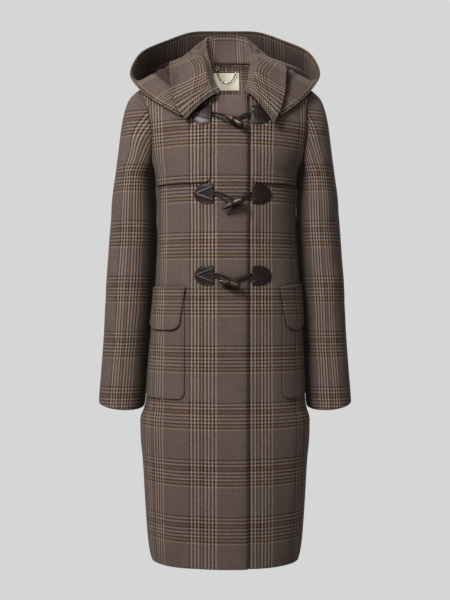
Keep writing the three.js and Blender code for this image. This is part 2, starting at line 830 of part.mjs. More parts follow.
function arcPoints(centreX, centreZ, radius, from, to, steps = 4) {
  return range(steps).map((t) => {
    const turn = lerp(from, to, t) * deg;
    return [centreX + radius * Math.cos(turn), centreZ + radius * Math.sin(turn)];
  });
}

const mirrored = (side, points) => points.map(([x, z]) => [side * x, z]);

// Yoke outline: straight inner edge, rounded lower corner, level lower edge, armhole, neck
function yokeOutline(side, innerX) {
  const inner = side * innerX;
  const edgeY = (z) => {
    const t = (Math.max(z, yokeLevelZ) - armholeZ) / armholeHalfHeight;
    return -armholeHalfDepth * Math.sqrt(Math.max(1 - t * t, 0)) - yokeSeamInset;
  };
  const outer = [yokeOuterZ, -242, yokeLevelZ, -185, -150, -115, -85, -66].map((z) => (
    [side * sideX(edgeY(z), z, side, frontFace), z]
  ));
  const neck = [76, 62, 48, 36].map((angle) => {
    const x = side * (side * neckSeam.halfWidth(angle) + neckSeam.shift(angle));
    return [x + neckInset * (angle > 70 ? 1.5 : 1), neckSeam.z(angle) - neckInset / 2];
  });
  const corner = arcPoints(inner + yokeCorner, yokeBottomZ + yokeCorner, yokeCorner, 180, 270);
  const points = [
    ...corner,
    [lerp(inner, 160, 0.75), yokeBottomZ - 1],
    ...outer,
    [shoulderX - 2, 20],
    [neckHalfWidth + 1.5 * neckInset, 20],
    ...neck.filter(([x]) => x > inner + 2),
    [inner, neckSeam.z(30) - neckInset],
  ];
  return mirrored(side, points);
}

// Pocket or flap outline: its inner edge, two rounded lower corners and its outer edge
function pocketOutline(side, spec) {
  const outerX = (z) => Math.abs(bodyPoint(spec.outerAngle, z, side, frontFace).x);
  const innerTop = side * spec.innerTopX;
  const innerBottom = side * spec.innerBottomX;
  const { corner, bottomZ, topZ, topOuterZ } = spec;
  const points = [
    [innerTop, topZ],
    ...arcPoints(innerBottom + corner, bottomZ + corner, corner, 180, 270),
    [outerX(bottomZ) - 10, bottomZ],
    [outerX(bottomZ + 24), bottomZ + 24],
    [outerX(topOuterZ), topOuterZ],
  ];
  return mirrored(side, points);
}

const pockets = {
  right: { innerTopX: -83, innerBottomX: -83, topOuterZ: pocketTopZ },
  left: { innerTopX: 118.5, innerBottomX: 118.5, topOuterZ: pocketTopZ },
};

const flaps = {
  right: { innerTopX: -80, innerBottomX: -93, topOuterZ: flapTopZ },
  left: { innerTopX: 112, innerBottomX: 126, topOuterZ: flapTopZ + 6 },
};

// Leather patch outline: a D with its straight side to the closure
function patchOutline(centreX, centreZ, toClosure) {
  const half = patchSize / 2;
  const shape = [
    [1, 0.86], [0.93, 1], [0.35, 1], [-0.2, 0.94], [-0.62, 0.72], [-0.9, 0.4], [-1, 0],
    [-0.9, -0.4], [-0.62, -0.72], [-0.2, -0.94], [0.35, -1], [0.93, -1], [1, -0.86],
  ];
  return shape.map(([u, v]) => [centreX + toClosure * u * half, centreZ + v * half]);
}

// Fastenings: patch places, toggle ends seen from the front, and how much lower the toggle sits
const fastenings = [
  { rightX: -50, leftX: 74, z: -125, thick: [35, -153], narrow: [-2, -133], sunk: 0, onYoke: true },
  { rightX: -43, leftX: 75.5, z: -287, thick: [33, -300], narrow: [-3, -318], sunk: 0.6, onYoke: false },
  { rightX: -42.5, leftX: 75.5, z: -454, thick: [34, -477], narrow: [-18, -464], sunk: 0.4, onYoke: false },
];
const toggleProfile = [
  [0, 0], [2.2, 0.6], [3.4, 4], [5.2, 14], [6.4, 26], [6.8, 36], [6.4, 42], [4.4, 45.4], [0, 46.2],
];
const toggleLength = 46.2;
const toggleUnderside = 9.2;
const thickLift = toggleUnderside + 7.6;
const narrowLift = toggleUnderside + 3;
const loopLevel = cordRadius + seamGap;
const cordLevel = loopLevel + 2 * cordRadius + seamGap;

// A point over the front at a height above its cloth, on the wearer's right or left front
function frontPoint(x, z, height, side = rightSide) {
  const vertex = onCoat(x, z, side);
  return vertex.point.addScaledVector(vertex.normal, height);
}

function toggleEnds(spec) {
  const thick = frontPoint(...spec.thick, thickLift - spec.sunk);
  const narrow = frontPoint(...spec.narrow, narrowLift - spec.sunk);
  const middle = thick.clone().add(narrow).multiplyScalar(0.5);
  const half = thick.clone().sub(narrow).normalize().multiplyScalar(toggleLength / 2);
  return { thick: middle.clone().add(half), narrow: middle.clone().sub(half) };
}

function toggleMesh(name, spec) {
  const profile = toggleProfile.map(([radius, along]) => new THREE.Vector2(radius, along));
  const geometry = new THREE.LatheGeometry(profile, 10);
  const ends = toggleEnds(spec);
  const mesh = namedMesh(name, geometry, hornColor, 0.4);
  mesh.position.copy(ends.narrow);
  mesh.quaternion.setFromUnitVectors(vec(0, 1, 0), ends.thick.clone().sub(ends.narrow).normalize());
  return mesh;
}

function cordTube(name, points, radius, sides, steps, color, rough) {
  const path = new THREE.CatmullRomCurve3(points);
  path.curveType = 'centripetal';
  const section = new THREE.Shape();
  range(sides).slice(0, -1).forEach((t, i) => {
    const x = radius * Math.cos(2 * Math.PI * t);
    const y = radius * Math.sin(2 * Math.PI * t);
    if (i === 0) section.moveTo(x, y);
    else section.lineTo(x, y);
  });
  const geometry = new THREE.ExtrudeGeometry(section, { steps, extrudePath: path });
  return namedMesh(name, geometry, color, rough);
}

// Both cords are bights that lie under the toggle: the loop from the wearer's right flat on
// the cloth, and the toggle's own cord from the left across it
function bightMeshes(number, spec) {
  const middleX = lerp(spec.narrow[0], spec.thick[0], 0.5);
  const middleZ = lerp(spec.narrow[1], spec.thick[1], 0.5);
  const startLevel = loopLevel + (spec.onYoke ? clothWall + seamGap : 0);
  const bight = (fromX, fromSide, turnX, level, spread) => {
    const away = Math.sign(turnX - fromX);
    const strand = (sign) => [
      frontPoint(fromX, spec.z + sign * spread, startLevel, fromSide),
      frontPoint(fromX + away * 6.2, spec.z + sign * spread, Math.min(level, loopLevel + 0.4)),
      frontPoint(turnX - away * 12, lerp(spec.z, middleZ, 0.7) + sign * spread, level),
      frontPoint(turnX - away * 3, middleZ + sign * spread, level),
    ];
    return [...strand(1), frontPoint(turnX, middleZ, level), ...strand(-1).reverse()];
  };
  const rightEdge = spec.rightX + patchSize / 2 + cordEndGap;
  const leftEdge = spec.leftX - patchSize / 2 - cordEndGap;
  const loop = bight(rightEdge, rightSide, middleX + 7, loopLevel, 3.4);
  const cord = bight(leftEdge, leftSide, middleX - 5, cordLevel, 2.4);
  return [
    cordTube(`loop_${number}`, loop, cordRadius, 6, 16, cordColor, 0.7),
    cordTube(`cord_${number}`, cord, cordRadius, 6, 16, cordColor, 0.7),
  ];
}

// Inside the back neck: facing, label and hanger chain, each laid inward on the back's points
function insideBack(x, z, depth) {
  const side = x < 0 ? rightSide : leftSide;
  const vertex = onCoat(x, Math.min(z, shoulderArch(x, backFace).top), side, backFace);
  return vertex.point.addScaledVector(vertex.normal, -depth);
}

// Half moon of the neck facing, seen from behind
function neckFacingOutline() {
  const bottom = range(8).map((t) => {
    const turn = lerp(-90, 90, t) * deg;
    return [neckHalfWidth * 1.02 * Math.sin(turn), -6 - 68 * Math.cos(turn)];
  });
  return [...bottom, [neckHalfWidth, 30], [-neckHalfWidth, 30]];
}

const labelOutline = [[-26, 1], [33, 1], [33, -36], [-26, -36]];

function hangerMeshes() {
  const depth = clothWall + liningWall + labelWall + 4;
  const ringDepth = depth + 8;
  const places = [[-21, 8], [-14, -6], [-8, -15], [2, -20], [12, -17], [20, -9], [27, 4]];
  const points = places.map(([x, z]) => insideBack(x, z, depth));
  const ring = new THREE.TorusGeometry(3.7, 1, 6, 14);
  const ringMesh = namedMesh('hanger_ring', ring, steelColor, 0.3);
  ringMesh.position.copy(insideBack(-22, 10, ringDepth)).z += 8;
  ringMesh.rotation.x = 80 * deg;
  return [cordTube('hanger_chain', points, 1.3, 8, 12, steelColor, 0.3), ringMesh];
}

const coat = new THREE.Group();
const panels = {
  right: frontGrid(rightSide, lapEdgeX),
  left: frontGrid(leftSide, underlapEdgeX),
  back: backGrid(),
};
coat.add(wallMesh('front_right', panels.right, clothWall, woolColor));
coat.add(wallMesh('front_left', panels.left, clothWall, woolColor));
coat.add(wallMesh('back', panels.back, clothWall, woolColor));

const onCloth = { lift: seamGap, wall: clothWall, color: woolColor };
const overPocket = { lift: clothWall + 2 * seamGap, wall: clothWall, color: woolColor };
[['right', rightSide], ['left', leftSide]].forEach(([word, side]) => {
  const panel = panels[word];
  const pocket = {
    ...pockets[word],
    topZ: pocketTopZ,
    bottomZ: pocketBottomZ,
    corner: pocketCorner,
    outerAngle: pocketOuterAngle,
  };
  const flap = {
    ...flaps[word],
    topZ: flapTopZ,
    bottomZ: flapBottomZ,
    corner: flapCorner,
    outerAngle: pocketOuterAngle,
  };
  coat.add(wallMesh(`sleeve_${word}`, sleeveGrid(side), clothWall, woolColor, { loop: true }));
  coat.add(laidPiece(`yoke_${word}`, panel, yokeOutline(side, yokeInnerX[word]), onCloth));
  coat.add(laidPiece(`pocket_${word}`, panel, pocketOutline(side, pocket), onCloth));
  coat.add(laidPiece(`flap_${word}`, panel, pocketOutline(side, flap), overPocket));
});

coat.add(collarMesh());
coat.add(...hoodMeshes());
coat.add(laidPiece('neck_facing', panels.back, neckFacingOutline(), {
  lift: -clothWall - seamGap - liningWall, wall: liningWall, color: woolColor, face: backFace,
}));
coat.add(laidPiece('label', panels.back, labelOutline, {
  lift: -clothWall - 2 * seamGap - liningWall - labelWall,
  wall: labelWall,
  color: labelColor,
  face: backFace,
}));
coat.add(...hangerMeshes());

fastenings.forEach((spec, i) => {
  const number = i + 1;
  const lift = spec.onYoke ? clothWall + 2 * seamGap : seamGap;
  const leather = { lift, wall: leatherWall, color: leatherColor, rough: 0.35 };
  const right = patchOutline(spec.rightX, spec.z, 1);
  const left = patchOutline(spec.leftX, spec.z, -1);
  coat.add(laidPiece(`patch_right_${number}`, panels.right, right, leather));
  coat.add(laidPiece(`patch_left_${number}`, panels.left, left, leather));
  coat.add(toggleMesh(`toggle_${number}`, spec));
  coat.add(...bightMeshes(number, spec));
});

export default coat;
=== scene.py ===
import math

import bpy
import numpy as np
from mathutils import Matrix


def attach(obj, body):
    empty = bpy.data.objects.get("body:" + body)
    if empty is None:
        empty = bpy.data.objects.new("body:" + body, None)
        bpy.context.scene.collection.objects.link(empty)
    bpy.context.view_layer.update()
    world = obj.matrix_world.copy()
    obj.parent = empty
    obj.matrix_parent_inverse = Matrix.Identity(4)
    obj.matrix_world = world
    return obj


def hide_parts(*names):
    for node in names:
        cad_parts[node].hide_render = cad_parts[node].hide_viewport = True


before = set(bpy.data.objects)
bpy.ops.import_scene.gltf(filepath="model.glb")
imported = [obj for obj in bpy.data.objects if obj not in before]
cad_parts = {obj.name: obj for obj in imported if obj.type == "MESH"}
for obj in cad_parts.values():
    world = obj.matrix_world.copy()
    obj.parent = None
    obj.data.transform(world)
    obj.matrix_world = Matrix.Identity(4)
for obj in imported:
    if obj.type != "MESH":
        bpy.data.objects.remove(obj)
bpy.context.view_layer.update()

# Everything is worked out in millimetres, +Z up and the front facing -Y, and turned into
# metres when a mesh is made.

rightSide = -1
leftSide = 1
frontFace = -1
backFace = 1


view = {"film": 36.0, "lens": 96.74, "spot": (0.0, -2.6, -0.504)}  # film and lens in mm, spot in m


# Level camera in front of the coat
def addCamera():
    data = bpy.data.cameras.new("camera")
    data.sensor_fit = "HORIZONTAL"
    data.sensor_width = view["film"]
    data.lens = view["lens"]
    camera = bpy.data.objects.new("camera", data)
    camera.location = view["spot"]
    camera.rotation_euler = (math.pi / 2, 0.0, 0.0)
    bpy.context.scene.collection.objects.link(camera)
    bpy.context.scene.camera = camera


addCamera()
print("camera placed")


# Straight mix of two values: from at 0, to at 1
def lerp(start, end, t):
    return start + (end - start) * t


# Smooth step from 0 to 1 between two values
def ease(start, end, value):
    t = np.clip((value - start) / (end - start), 0, 1)
    return t * t * (3 - 2 * t)


# The value's size to a power, with its sign kept
def signedPower(value, power):
    return np.sign(value) * np.abs(value) ** power


# Vectors divided by their lengths
def unit(v):
    return v / np.maximum(np.linalg.norm(v, axis=-1, keepdims=True), 1e-9)


# Three arrays as one array of points
def points3(x, y, z):
    return np.stack(np.broadcast_arrays(x, y, z), axis=-1).astype(float)


# Cubic pieces through the rows whose slopes are the harmonic mean of their neighbours' slopes,
# so the curve never overshoots
def smoothCurve(keys, values):
    keys = np.array(keys, float)
    values = np.array(values, float)
    slope = np.diff(values) / np.diff(keys)
    product = slope[:-1] * slope[1:]
    total = np.where(product > 0, slope[:-1] + slope[1:], 1)
    inner = np.where(product > 0, 2 * product / total, 0)
    tangent = np.concatenate([slope[:1], inner, slope[-1:]])

    # Value of the curve at a key: the cubic of the piece that holds it
    def value(key):
        k = np.clip(key, keys[0], keys[-1])
        i = np.clip(np.searchsorted(keys, k) - 1, 0, len(keys) - 2)
        span = keys[i + 1] - keys[i]
        t = (k - keys[i]) / span
        h = t * t * (3 - 2 * t)
        bend = tangent[i] * t * (1 - t) ** 2 - tangent[i + 1] * t * t * (1 - t)
        return values[i] * (1 - h) + values[i + 1] * h + span * bend

    return value


# A table's first column is the key, and each other column becomes a curve over it
def table(columns, rows):
    rows = np.array(sorted(rows), float)
    return {name: smoothCurve(rows[:, 0], rows[:, c + 1]) for c, name in enumerate(columns[1:])}


coat = {
    "hemZ": -1055.0, "armpitZ": -245.0, "shoulderX": 187.0, "neckHalfWidth": 66.0,
    "neckBackDepth": 70.0, "neckBackZ": 15.0, "shoulderSlope": 0.36, "shoulderDrop": 0.0008,
    "roundness": 2.4, "wall": 2.5, "lining": 1.5, "seamGap": 0.3, "layGap": 0.3,
}
# The right front laps over the left one, which dips a little in a groove along the lap's edge
lap = {
    "edgeX": 46.0, "underEdgeX": -14.0, "lift": 3.9, "startX": -22.0, "endX": -62.0,
    "grooveDepth": 2.2, "grooveAt": 2.5, "grooveWidth": 4.5,
}
armhole = {"z": -150.0, "halfHeight": 95.0, "halfDepth": 72.0}

bodyTable = table(["z", "halfWidth", "lean", "front", "back"], [
    [0, 215, 0, 122, 116], [-55, 205, 0, 123, 117.5], [-105, 193, 6, 125.5, 119],
    [-150, 184, 9.5, 127, 120], [-200, 170, 6, 130, 120.5], [-245, 153, 2.5, 131, 121],
    [-300, 149, 3, 130, 118.5], [-353, 149, 4, 129, 116], [-429, 152.5, 5, 128.5, 116.5],
    [-482, 156, 5.8, 128, 117], [-568, 161.5, 3.8, 129, 121], [-650, 167, 2.2, 130.7, 124.5],
    [-719, 171, 1.2, 132, 127], [-736, 175, 0.8, 132.8, 127.3], [-757, 181.5, 0, 134, 127.9],
    [-790, 181, 0, 133.8, 128.2], [-848, 176, 0, 133, 128], [-934, 171, 0, 132, 127.4],
    [-1009, 165.5, 0, 130.8, 126.6], [-1041, 161, 0, 130.3, 126.2], [-1055, 157, 0, 130, 126],
])
neckSeam = table(["angle", "halfWidth", "shift", "z"], [
    [21, 26, 16, -80], [40, 44, 11, -60], [60, 58, 5, -28], [75, 64.4, 2, -11], [90, 66, 0, 0],
])
collarFold = table(["angle", "halfWidth", "shift", "y", "z"], [
    [21, 24, 16, -92, -72], [40, 32.5, 13.5, -70, -51], [60, 39.2, 11.7, -41, -25],
    [80, 44, 9.5, -3, 10], [100, 45.5, 7, 32, 41], [125, 43, 3, 58, 70], [150, 28, 1, 69, 77],
    [180, 0, 0, 72, 78],
])
collarEdge = table(["angle", "halfWidth", "shift", "y", "z"], [
    [21, 90, 10, -112, -140.5], [35, 103, 9, -100, -118], [50, 112.5, 8, -82, -92],
    [65, 118, 7, -56, -62], [80, 117.5, 6, -26, -30], [95, 112, 3.5, 8, -1],
    [110, 100, 1, 38, 20], [130, 76, 0, 72, 38], [150, 48, 0, 98, 42], [180, 0, 0, 114, 40],
])
hoodTable = table([
    "rib", "angle", "shift", "ax", "ay", "az", "bx", "by", "bz", "cx", "cy", "cz", "rx", "ry", "rz",
], [
    [0, 42, 11, 56, -80, -77, 69, -92, -93, 82, -100, -107, 102, -104, -127],
    [1, 56, 6, 75, -52, -46, 98, -58, -62, 120, -64, -77, 147, -70, -94],
    [2, 75, 1, 90, -16, -14, 118, -18, -26, 150, -18, -40, 186, -20, -54],
    [3, 95, 0, 95, 14, -9, 135, 26, -30, 184, 36, -46, 208, 25, -11],
    [4, 115, 0, 88, 52, -22, 128, 96, -74, 180, 100, -40, 189.5, 65, 40],
    [5, 138, 0, 64, 96, -48, 100, 134, -146, 138, 156, -50, 134, 105, 76],
    [6, 160, 0, 32, 108, -54, 50, 148, -194, 66, 180, -70, 63, 135, 104],
    [7, 180, 0, 0, 113, -56, 0, 151, -206, 0, 185, -76, 0, 140, 105],
])
sleeveTable = table(["z", "outer", "centre", "halfDepth", "centreY"], [
    [-55, 187, 160, 70, 0], [-63, 196, 160.5, 71, 0], [-74, 206, 161, 72, 0],
    [-85, 211, 162, 73, 0], [-106, 217, 164, 74, 0], [-138, 223, 168, 75, 0],
    [-171, 227, 174, 75, 0], [-203, 231, 182, 74, 0], [-245, 236.5, 194.1, 72, 0],
    [-268, 240, 195.8, 71, 0.5], [-300, 243.5, 197.3, 70, 1], [-353, 247.2, 199.2, 68, 2],
    [-429, 252.5, 203.7, 65, 3], [-493, 257, 208.3, 62, 2], [-568, 259.7, 211.9, 58.7, 0],
    [-650, 265.2, 217.7, 55, -4], [-719, 270, 222.5, 52, -8], [-736, 270.6, 223.3, 51.5, -8.5],
])


# Half width of a side: the body's half width, with the lean added on the wearer's left
def halfWidthAt(z, side):
    return bodyTable["halfWidth"](z) + side * bodyTable["lean"](z)


# Height of the shoulder line: a slope plus a drop that grows with the square of the distance
def shoulderTop(x):
    d = np.maximum(np.abs(x) - coat["neckHalfWidth"], 0)
    return -(coat["shoulderSlope"] * d + coat["shoulderDrop"] * d * d)


# How the body rounds over into the shoulder: rise, power, top and the depth where it starts
def shoulderArch(x, face):
    t = np.clip(np.abs(x) / coat["shoulderX"], 0, 1)
    neckRound = np.sqrt(np.maximum(1 - (x / coat["neckHalfWidth"]) ** 2, 0))
    back = np.asarray(face) > 0
    rise = lerp(np.where(back, 190, 165), 120, t)
    power = lerp(np.where(back, 1.8, 1.35), 2, t)
    top = shoulderTop(x) + np.where(back, coat["neckBackZ"] * neckRound, 0)
    start = np.where(back, coat["neckBackDepth"] * neckRound, 0)
    return rise, power, top, start


# Point of the outer surface: a rounded oval by height, drawn in towards the shoulder line
def bodyPoint(angle, z, side, face):
    turn = np.radians(angle)
    power = 2 / coat["roundness"]
    x = side * halfWidthAt(z, side) * signedPower(np.sin(turn), power)
    depth = np.where(np.asarray(face) < 0, bodyTable["front"](z), bodyTable["back"](z))
    full = depth * signedPower(np.cos(turn), power)
    rise, archPower, top, start = shoulderArch(x, face)
    w = np.clip((top - z) / rise, 0, 1)
    rounded = (1 - (1 - w) ** archPower) ** (1 / archPower)
    return points3(x, face * (start + (full - start) * rounded), z)


# Angle round the body of a front-view place
def angleAt(x, z, side):
    ratio = np.clip(side * x / halfWidthAt(z, side), -1, 1)
    return np.degrees(np.arcsin(signedPower(ratio, coat["roundness"] / 2)))


# Outward normal: the cross product of the two directions on the surface
def bodyNormal(angle, z, side, face):
    x = bodyPoint(angle, z, side, face)[..., 0]
    step = 0.4
    across = bodyPoint(angle + step, z, side, face) - bodyPoint(angle - step, z, side, face)
    down = bodyPoint(angle, z - step, side, face) - bodyPoint(angle, z + step, side, face)
    normal = unit(np.cross(across, down))
    flip = np.where(normal[..., 1] * face + normal[..., 0] * side >= 0, 1, -1)
    normal = normal * flip[..., None]
    slope = coat["shoulderSlope"]
    slope = slope + 2 * coat["shoulderDrop"] * (np.abs(x) - coat["neckHalfWidth"])
    ridge = unit(points3(np.sign(x) * slope, 0 * x, 1 + 0 * x))
    onRidge = (np.abs(x) >= coat["neckHalfWidth"]) & (shoulderTop(x) - z < 0.05)
    return np.where(onRidge[..., None], ridge, normal)


# Soft creases, placed one by one. Each row is a line from one front-view place to another (x, z,
# x, z), the crease's half width and its height; the panels and what lies on them share them.
frontCreases = np.array([
    [58, -128, 118, -152, 9, 1.3], [66, -176, 138, -214, 11, -1.7], [72, -196, 140, -240, 9, 1.4],
    [96, -118, 132, -172, 8, -1.1], [-62, -150, -128, -186, 12, -1.2], [-70, -176, -132, -222, 9, 1.1],
    [-104, -112, -124, -160, 8, 0.9], [-58, -292, -112, -318, 13, 1.2], [84, -296, 132, -330, 12, 1.3],
    [-20, -330, -96, -372, 15, -1.2], [14, -352, 100, -400, 16, -1.3], [-56, -462, -84, -540, 14, 1.1],
    [90, -470, 106, -556, 12, -1.0], [-30, -560, -46, -840, 24, 1.6], [60, -600, 66, -880, 22, -1.6],
    [-96, -760, -104, -1050, 22, 2.2], [-44, -820, -40, -1050, 26, -2.0],
    [16, -780, 22, -1050, 24, 1.7],
    [74, -800, 84, -1052, 22, 2.2], [122, -760, 126, -1040, 18, -1.7],
    [-142, -770, -138, -1050, 16, -1.5], [-120, -720, -60, -742, 14, 1.0],
    [70, -726, 134, -744, 13, 0.9], [6, -120, 26, -190, 12, -0.8], [-6, -640, 22, -700, 26, -1.0],
], float)
backCreases = np.array([
    [-20, -260, -90, -330, 17, -1.7], [26, -250, 96, -312, 16, 1.6], [-60, -300, -130, -344, 13, 1.4],
    [54, -344, 128, -372, 14, -1.5], [-8, -380, 10, -560, 24, -1.5], [-70, -560, -78, -900, 24, 2.0],
    [64, -520, 76, -860, 26, -1.8], [-24, -760, -18, -1050, 24, 2.2], [48, -800, 52, -1050, 22, 2.2],
    [-110, -800, -120, -1050, 22, -2.0], [112, -780, 122, -1050, 20, 1.8],
    [10, -820, 8, -1050, 18, -1.6],
    [-112, -150, -150, -210, 12, -1.3], [108, -140, 150, -200, 11, 1.2],
    [-140, -520, -110, -640, 18, 1.2],
], float)
creaseFade = {"noneAt": -30, "fullAt": -120}  # heights between which the creases fade in


# Height of all creases at a place: each is a bell curve of the distance from its line
def creaseAt(x, z, rows):
    total = np.zeros(np.broadcast(x, z).shape)
    for x0, z0, x1, z1, width, height in rows:
        along = np.array([x1 - x0, z1 - z0])
        t = ((x - x0) * along[0] + (z - z0) * along[1]) / (along @ along)
        near = np.clip(t, 0, 1)
        dx = x - (x0 + near * along[0])
        dz = z - (z0 + near * along[1])
        fade = 0.35 + 0.65 * np.sin(np.pi * np.clip(near, 0.06, 0.94))
        total = total + height * fade * np.exp(-(dx * dx + dz * dz) / (width * width))
    return total


# Lift of the right front where it laps over the left one
def lapLiftAt(x, panelSide, face):
    if panelSide == leftSide or face == backFace:
        return 0 * x
    return lap["lift"] * ease(lap["endX"], lap["startX"], x)


# Point and normal of a panel at a front-view place, moved out by a lift
def onPanel(x, z, panelSide, face, lift=0.0):
    side = np.where(x < 0, -1, 1)
    top = shoulderArch(x, face)[2]
    z = np.minimum(z, top)
    angle = angleAt(x, z, side)
    normal = bodyNormal(angle, z, side, face)
    rows = frontCreases if face == frontFace else backCreases
    soft = creaseAt(x, z, rows) * ease(creaseFade["noneAt"], creaseFade["fullAt"], z)
    if panelSide == leftSide and face == frontFace:
        fromGroove = (x - lap["edgeX"] - lap["grooveAt"]) / lap["grooveWidth"]
        soft = soft - lap["grooveDepth"] * np.exp(-fromGroove ** 2)
    out = lift + soft + lapLiftAt(x, panelSide, face)
    return bodyPoint(angle, z, side, face) + normal * out[..., None], normal


arcGrid = {"lowZ": -1060, "highZ": 16, "rows": 180, "columns": 61, "zeroZ": -300}


# Arc lengths over the body, so that the check runs on from piece to piece
def arcTables():
    zs = np.linspace(arcGrid["lowZ"], arcGrid["highZ"], arcGrid["rows"])[:, None]
    angles = np.linspace(0, 90, arcGrid["columns"])[None, :]
    start = np.argmin(np.abs(zs[:, 0] - arcGrid["zeroZ"]))
    tables = {}
    for side in (rightSide, leftSide):
        for face in (frontFace, backFace):
            p = bodyPoint(angles, zs, side, face)
            across = np.linalg.norm(np.diff(p, axis=1), axis=2)
            u = np.concatenate([np.zeros((len(zs), 1)), np.cumsum(across, axis=1)], axis=1)
            up = np.linalg.norm(np.diff(p, axis=0), axis=2)
            v = np.concatenate([np.zeros((1, arcGrid["columns"])), np.cumsum(up, axis=0)], axis=0)
            v = -arcGrid["zeroZ"] - (v - v[start])
            tables[(side, face)] = (side * u, v)
    return tables


arcs = arcTables()


# Place in the cloth of a front-view place: arc length from the centre line and down
def clothPlace(x, z, face):
    x, z = np.broadcast_arrays(x, z)
    result = np.zeros(x.shape + (2,))
    lastRow, lastColumn = arcGrid["rows"] - 1, arcGrid["columns"] - 1
    height = arcGrid["highZ"] - arcGrid["lowZ"]
    for side in (rightSide, leftSide):
        angle = angleAt(x, z, side)
        i = np.clip((z - arcGrid["lowZ"]) / height * lastRow, 0, lastRow - 0.001)
        j = np.clip(angle / 90 * lastColumn, 0, lastColumn - 0.001)
        i0, j0 = i.astype(int), j.astype(int)
        fi, fj = i - i0, j - j0
        mine = (x < 0) == (side < 0)
        for k, grid in enumerate(arcs[(side, face)]):
            low = grid[i0, j0] * (1 - fj) + grid[i0, j0 + 1] * fj
            high = grid[i0 + 1, j0] * (1 - fj) + grid[i0 + 1, j0 + 1] * fj
            result[..., k] = np.where(mine, low * (1 - fi) + high * fi, result[..., k])
    return result


halvings = {"rounds": 40, "lowX": 30.0}


# Widest x of the surface at a height and depth, found by halving
def sideX(y, z, side, face):
    y, z = np.broadcast_arrays(np.asarray(y, float), np.asarray(z, float))
    low = np.full(y.shape, halvings["lowX"])
    high = halfWidthAt(z, side) + 0 * y
    ridgeLow = np.full(y.shape, coat["neckHalfWidth"])
    ridgeHigh = high.copy()
    onRidge = (np.abs(y) < 1e-6) & (z > shoulderTop(high))
    for _ in range(halvings["rounds"]):
        middle = (low + high) / 2
        p = bodyPoint(angleAt(side * middle, z, side), z, side, face)
        inside = np.abs(p[..., 1]) > np.abs(y)
        low, high = np.where(inside, middle, low), np.where(inside, high, middle)
        middle = (ridgeLow + ridgeHigh) / 2
        above = shoulderTop(middle) > z
        ridgeLow = np.where(above, middle, ridgeLow)
        ridgeHigh = np.where(above, ridgeHigh, middle)
    return side * np.where(onRidge, ridgeLow, low)


# Points of the armhole's oval, by the angle round it: 0 top, 90 front, 180 armpit, 270 back
def armholePoints(theta, side):
    turn = np.radians(theta)
    z = armhole["z"] + armhole["halfHeight"] * np.cos(turn)
    y = -armhole["halfDepth"] * np.sin(turn)
    y = np.where(np.abs(y) < 1e-6, 0, y)
    front = sideX(y, z, side, frontFace)
    back = sideX(y, z, side, backFace)
    return points3(np.where(theta <= 180, front, back), y, z)


# Points of the neck seam: an ellipse behind the shoulder, the table's curve before it
def neckPoints(angle, side):
    turn = np.radians(180 - angle)
    back = points3(
        side * coat["neckHalfWidth"] * np.sin(turn), coat["neckBackDepth"] * np.cos(turn),
        coat["neckBackZ"] * np.cos(turn),
    )
    x = side * neckSeam["halfWidth"](angle) + neckSeam["shift"](angle)
    z = neckSeam["z"](angle)
    xSide = np.where(x < 0, -1, 1)
    top = np.minimum(z, shoulderArch(x, frontFace)[2])
    around = angleAt(x, top, xSide)
    front = bodyPoint(around, top, xSide, frontFace)
    lift = lapLiftAt(x, side, frontFace)[..., None]
    front = front + bodyNormal(around, top, xSide, frontFace) * lift
    front[..., 2] = z
    return np.where((angle >= 90)[..., None], back, front)


edgeSteps = {"at": np.array([0.35, 1.0, 2.2]), "clear": 1.6}


# Fractions from 0 to 1, closer together within two millimetres of the chosen ends
def spaced(count, length, ends=(True, True)):
    edge = edgeSteps["at"] / length
    clear = edge[-1] * edgeSteps["clear"]
    low = edge if ends[0] else edge[:0]
    high = 1 - (edge[::-1] if ends[1] else edge[:0])
    inner = np.linspace(0, 1, count + 1)[1:-1]
    inner = inner[(inner > clear) & (inner < 1 - clear)]
    return np.concatenate([[0], low, inner, high, [1]])


# Distance along each row or column from its first point
def runLength(points, axis):
    steps = np.linalg.norm(np.diff(points, axis=axis), axis=2)
    zero = np.zeros((1, steps.shape[1])) if axis == 0 else np.zeros((steps.shape[0], 1))
    return np.concatenate([zero, np.cumsum(steps, axis=axis)], axis=axis)


# Normals of a point grid: the cross product of the directions along its rows and columns
def gridNormals(points, loop=False):
    if loop:
        along = np.roll(points, -1, axis=1) - np.roll(points, 1, axis=1)
    else:
        along = np.gradient(points, axis=1)
    across = np.gradient(points, axis=0)
    return unit(np.cross(unit(along), unit(across)))


# Plain sRGB hex colour as linear values: the standard curve for each channel
def linear(code):
    values = [int(code[i:i + 2], 16) / 255 for i in (1, 3, 5)]
    return [v / 12.92 if v <= 0.04045 else ((v + 0.055) / 1.055) ** 2.4 for v in values] + [1.0]


# One node in a tree, with its settings and the values or links of its inputs: a node given as
# a value is linked by the first of its outputs that is in use
def addNode(tree, kind, inputs=None, **settings):
    made = tree.nodes.new("ShaderNode" + kind)
    for name, value in settings.items():
        setattr(made, name, value)
    for name, value in (inputs or {}).items():
        if isinstance(value, bpy.types.Node):
            value = next(socket for socket in value.outputs if socket.enabled)
        if isinstance(value, bpy.types.NodeSocket):
            tree.links.new(value, made.inputs[name])
        else:
            made.inputs[name].default_value = value
    return made


# An empty material with its shader, joined to the output
def newMaterial(name, **values):
    material = bpy.data.materials.new(name)
    material.use_nodes = True
    tree = material.node_tree
    tree.nodes.clear()
    shader = addNode(tree, "BsdfPrincipled")
    for key, value in values.items():
        shader.inputs[key.replace("_", " ")].default_value = value
    addNode(tree, "OutputMaterial", {0: shader})
    return material, tree, shader


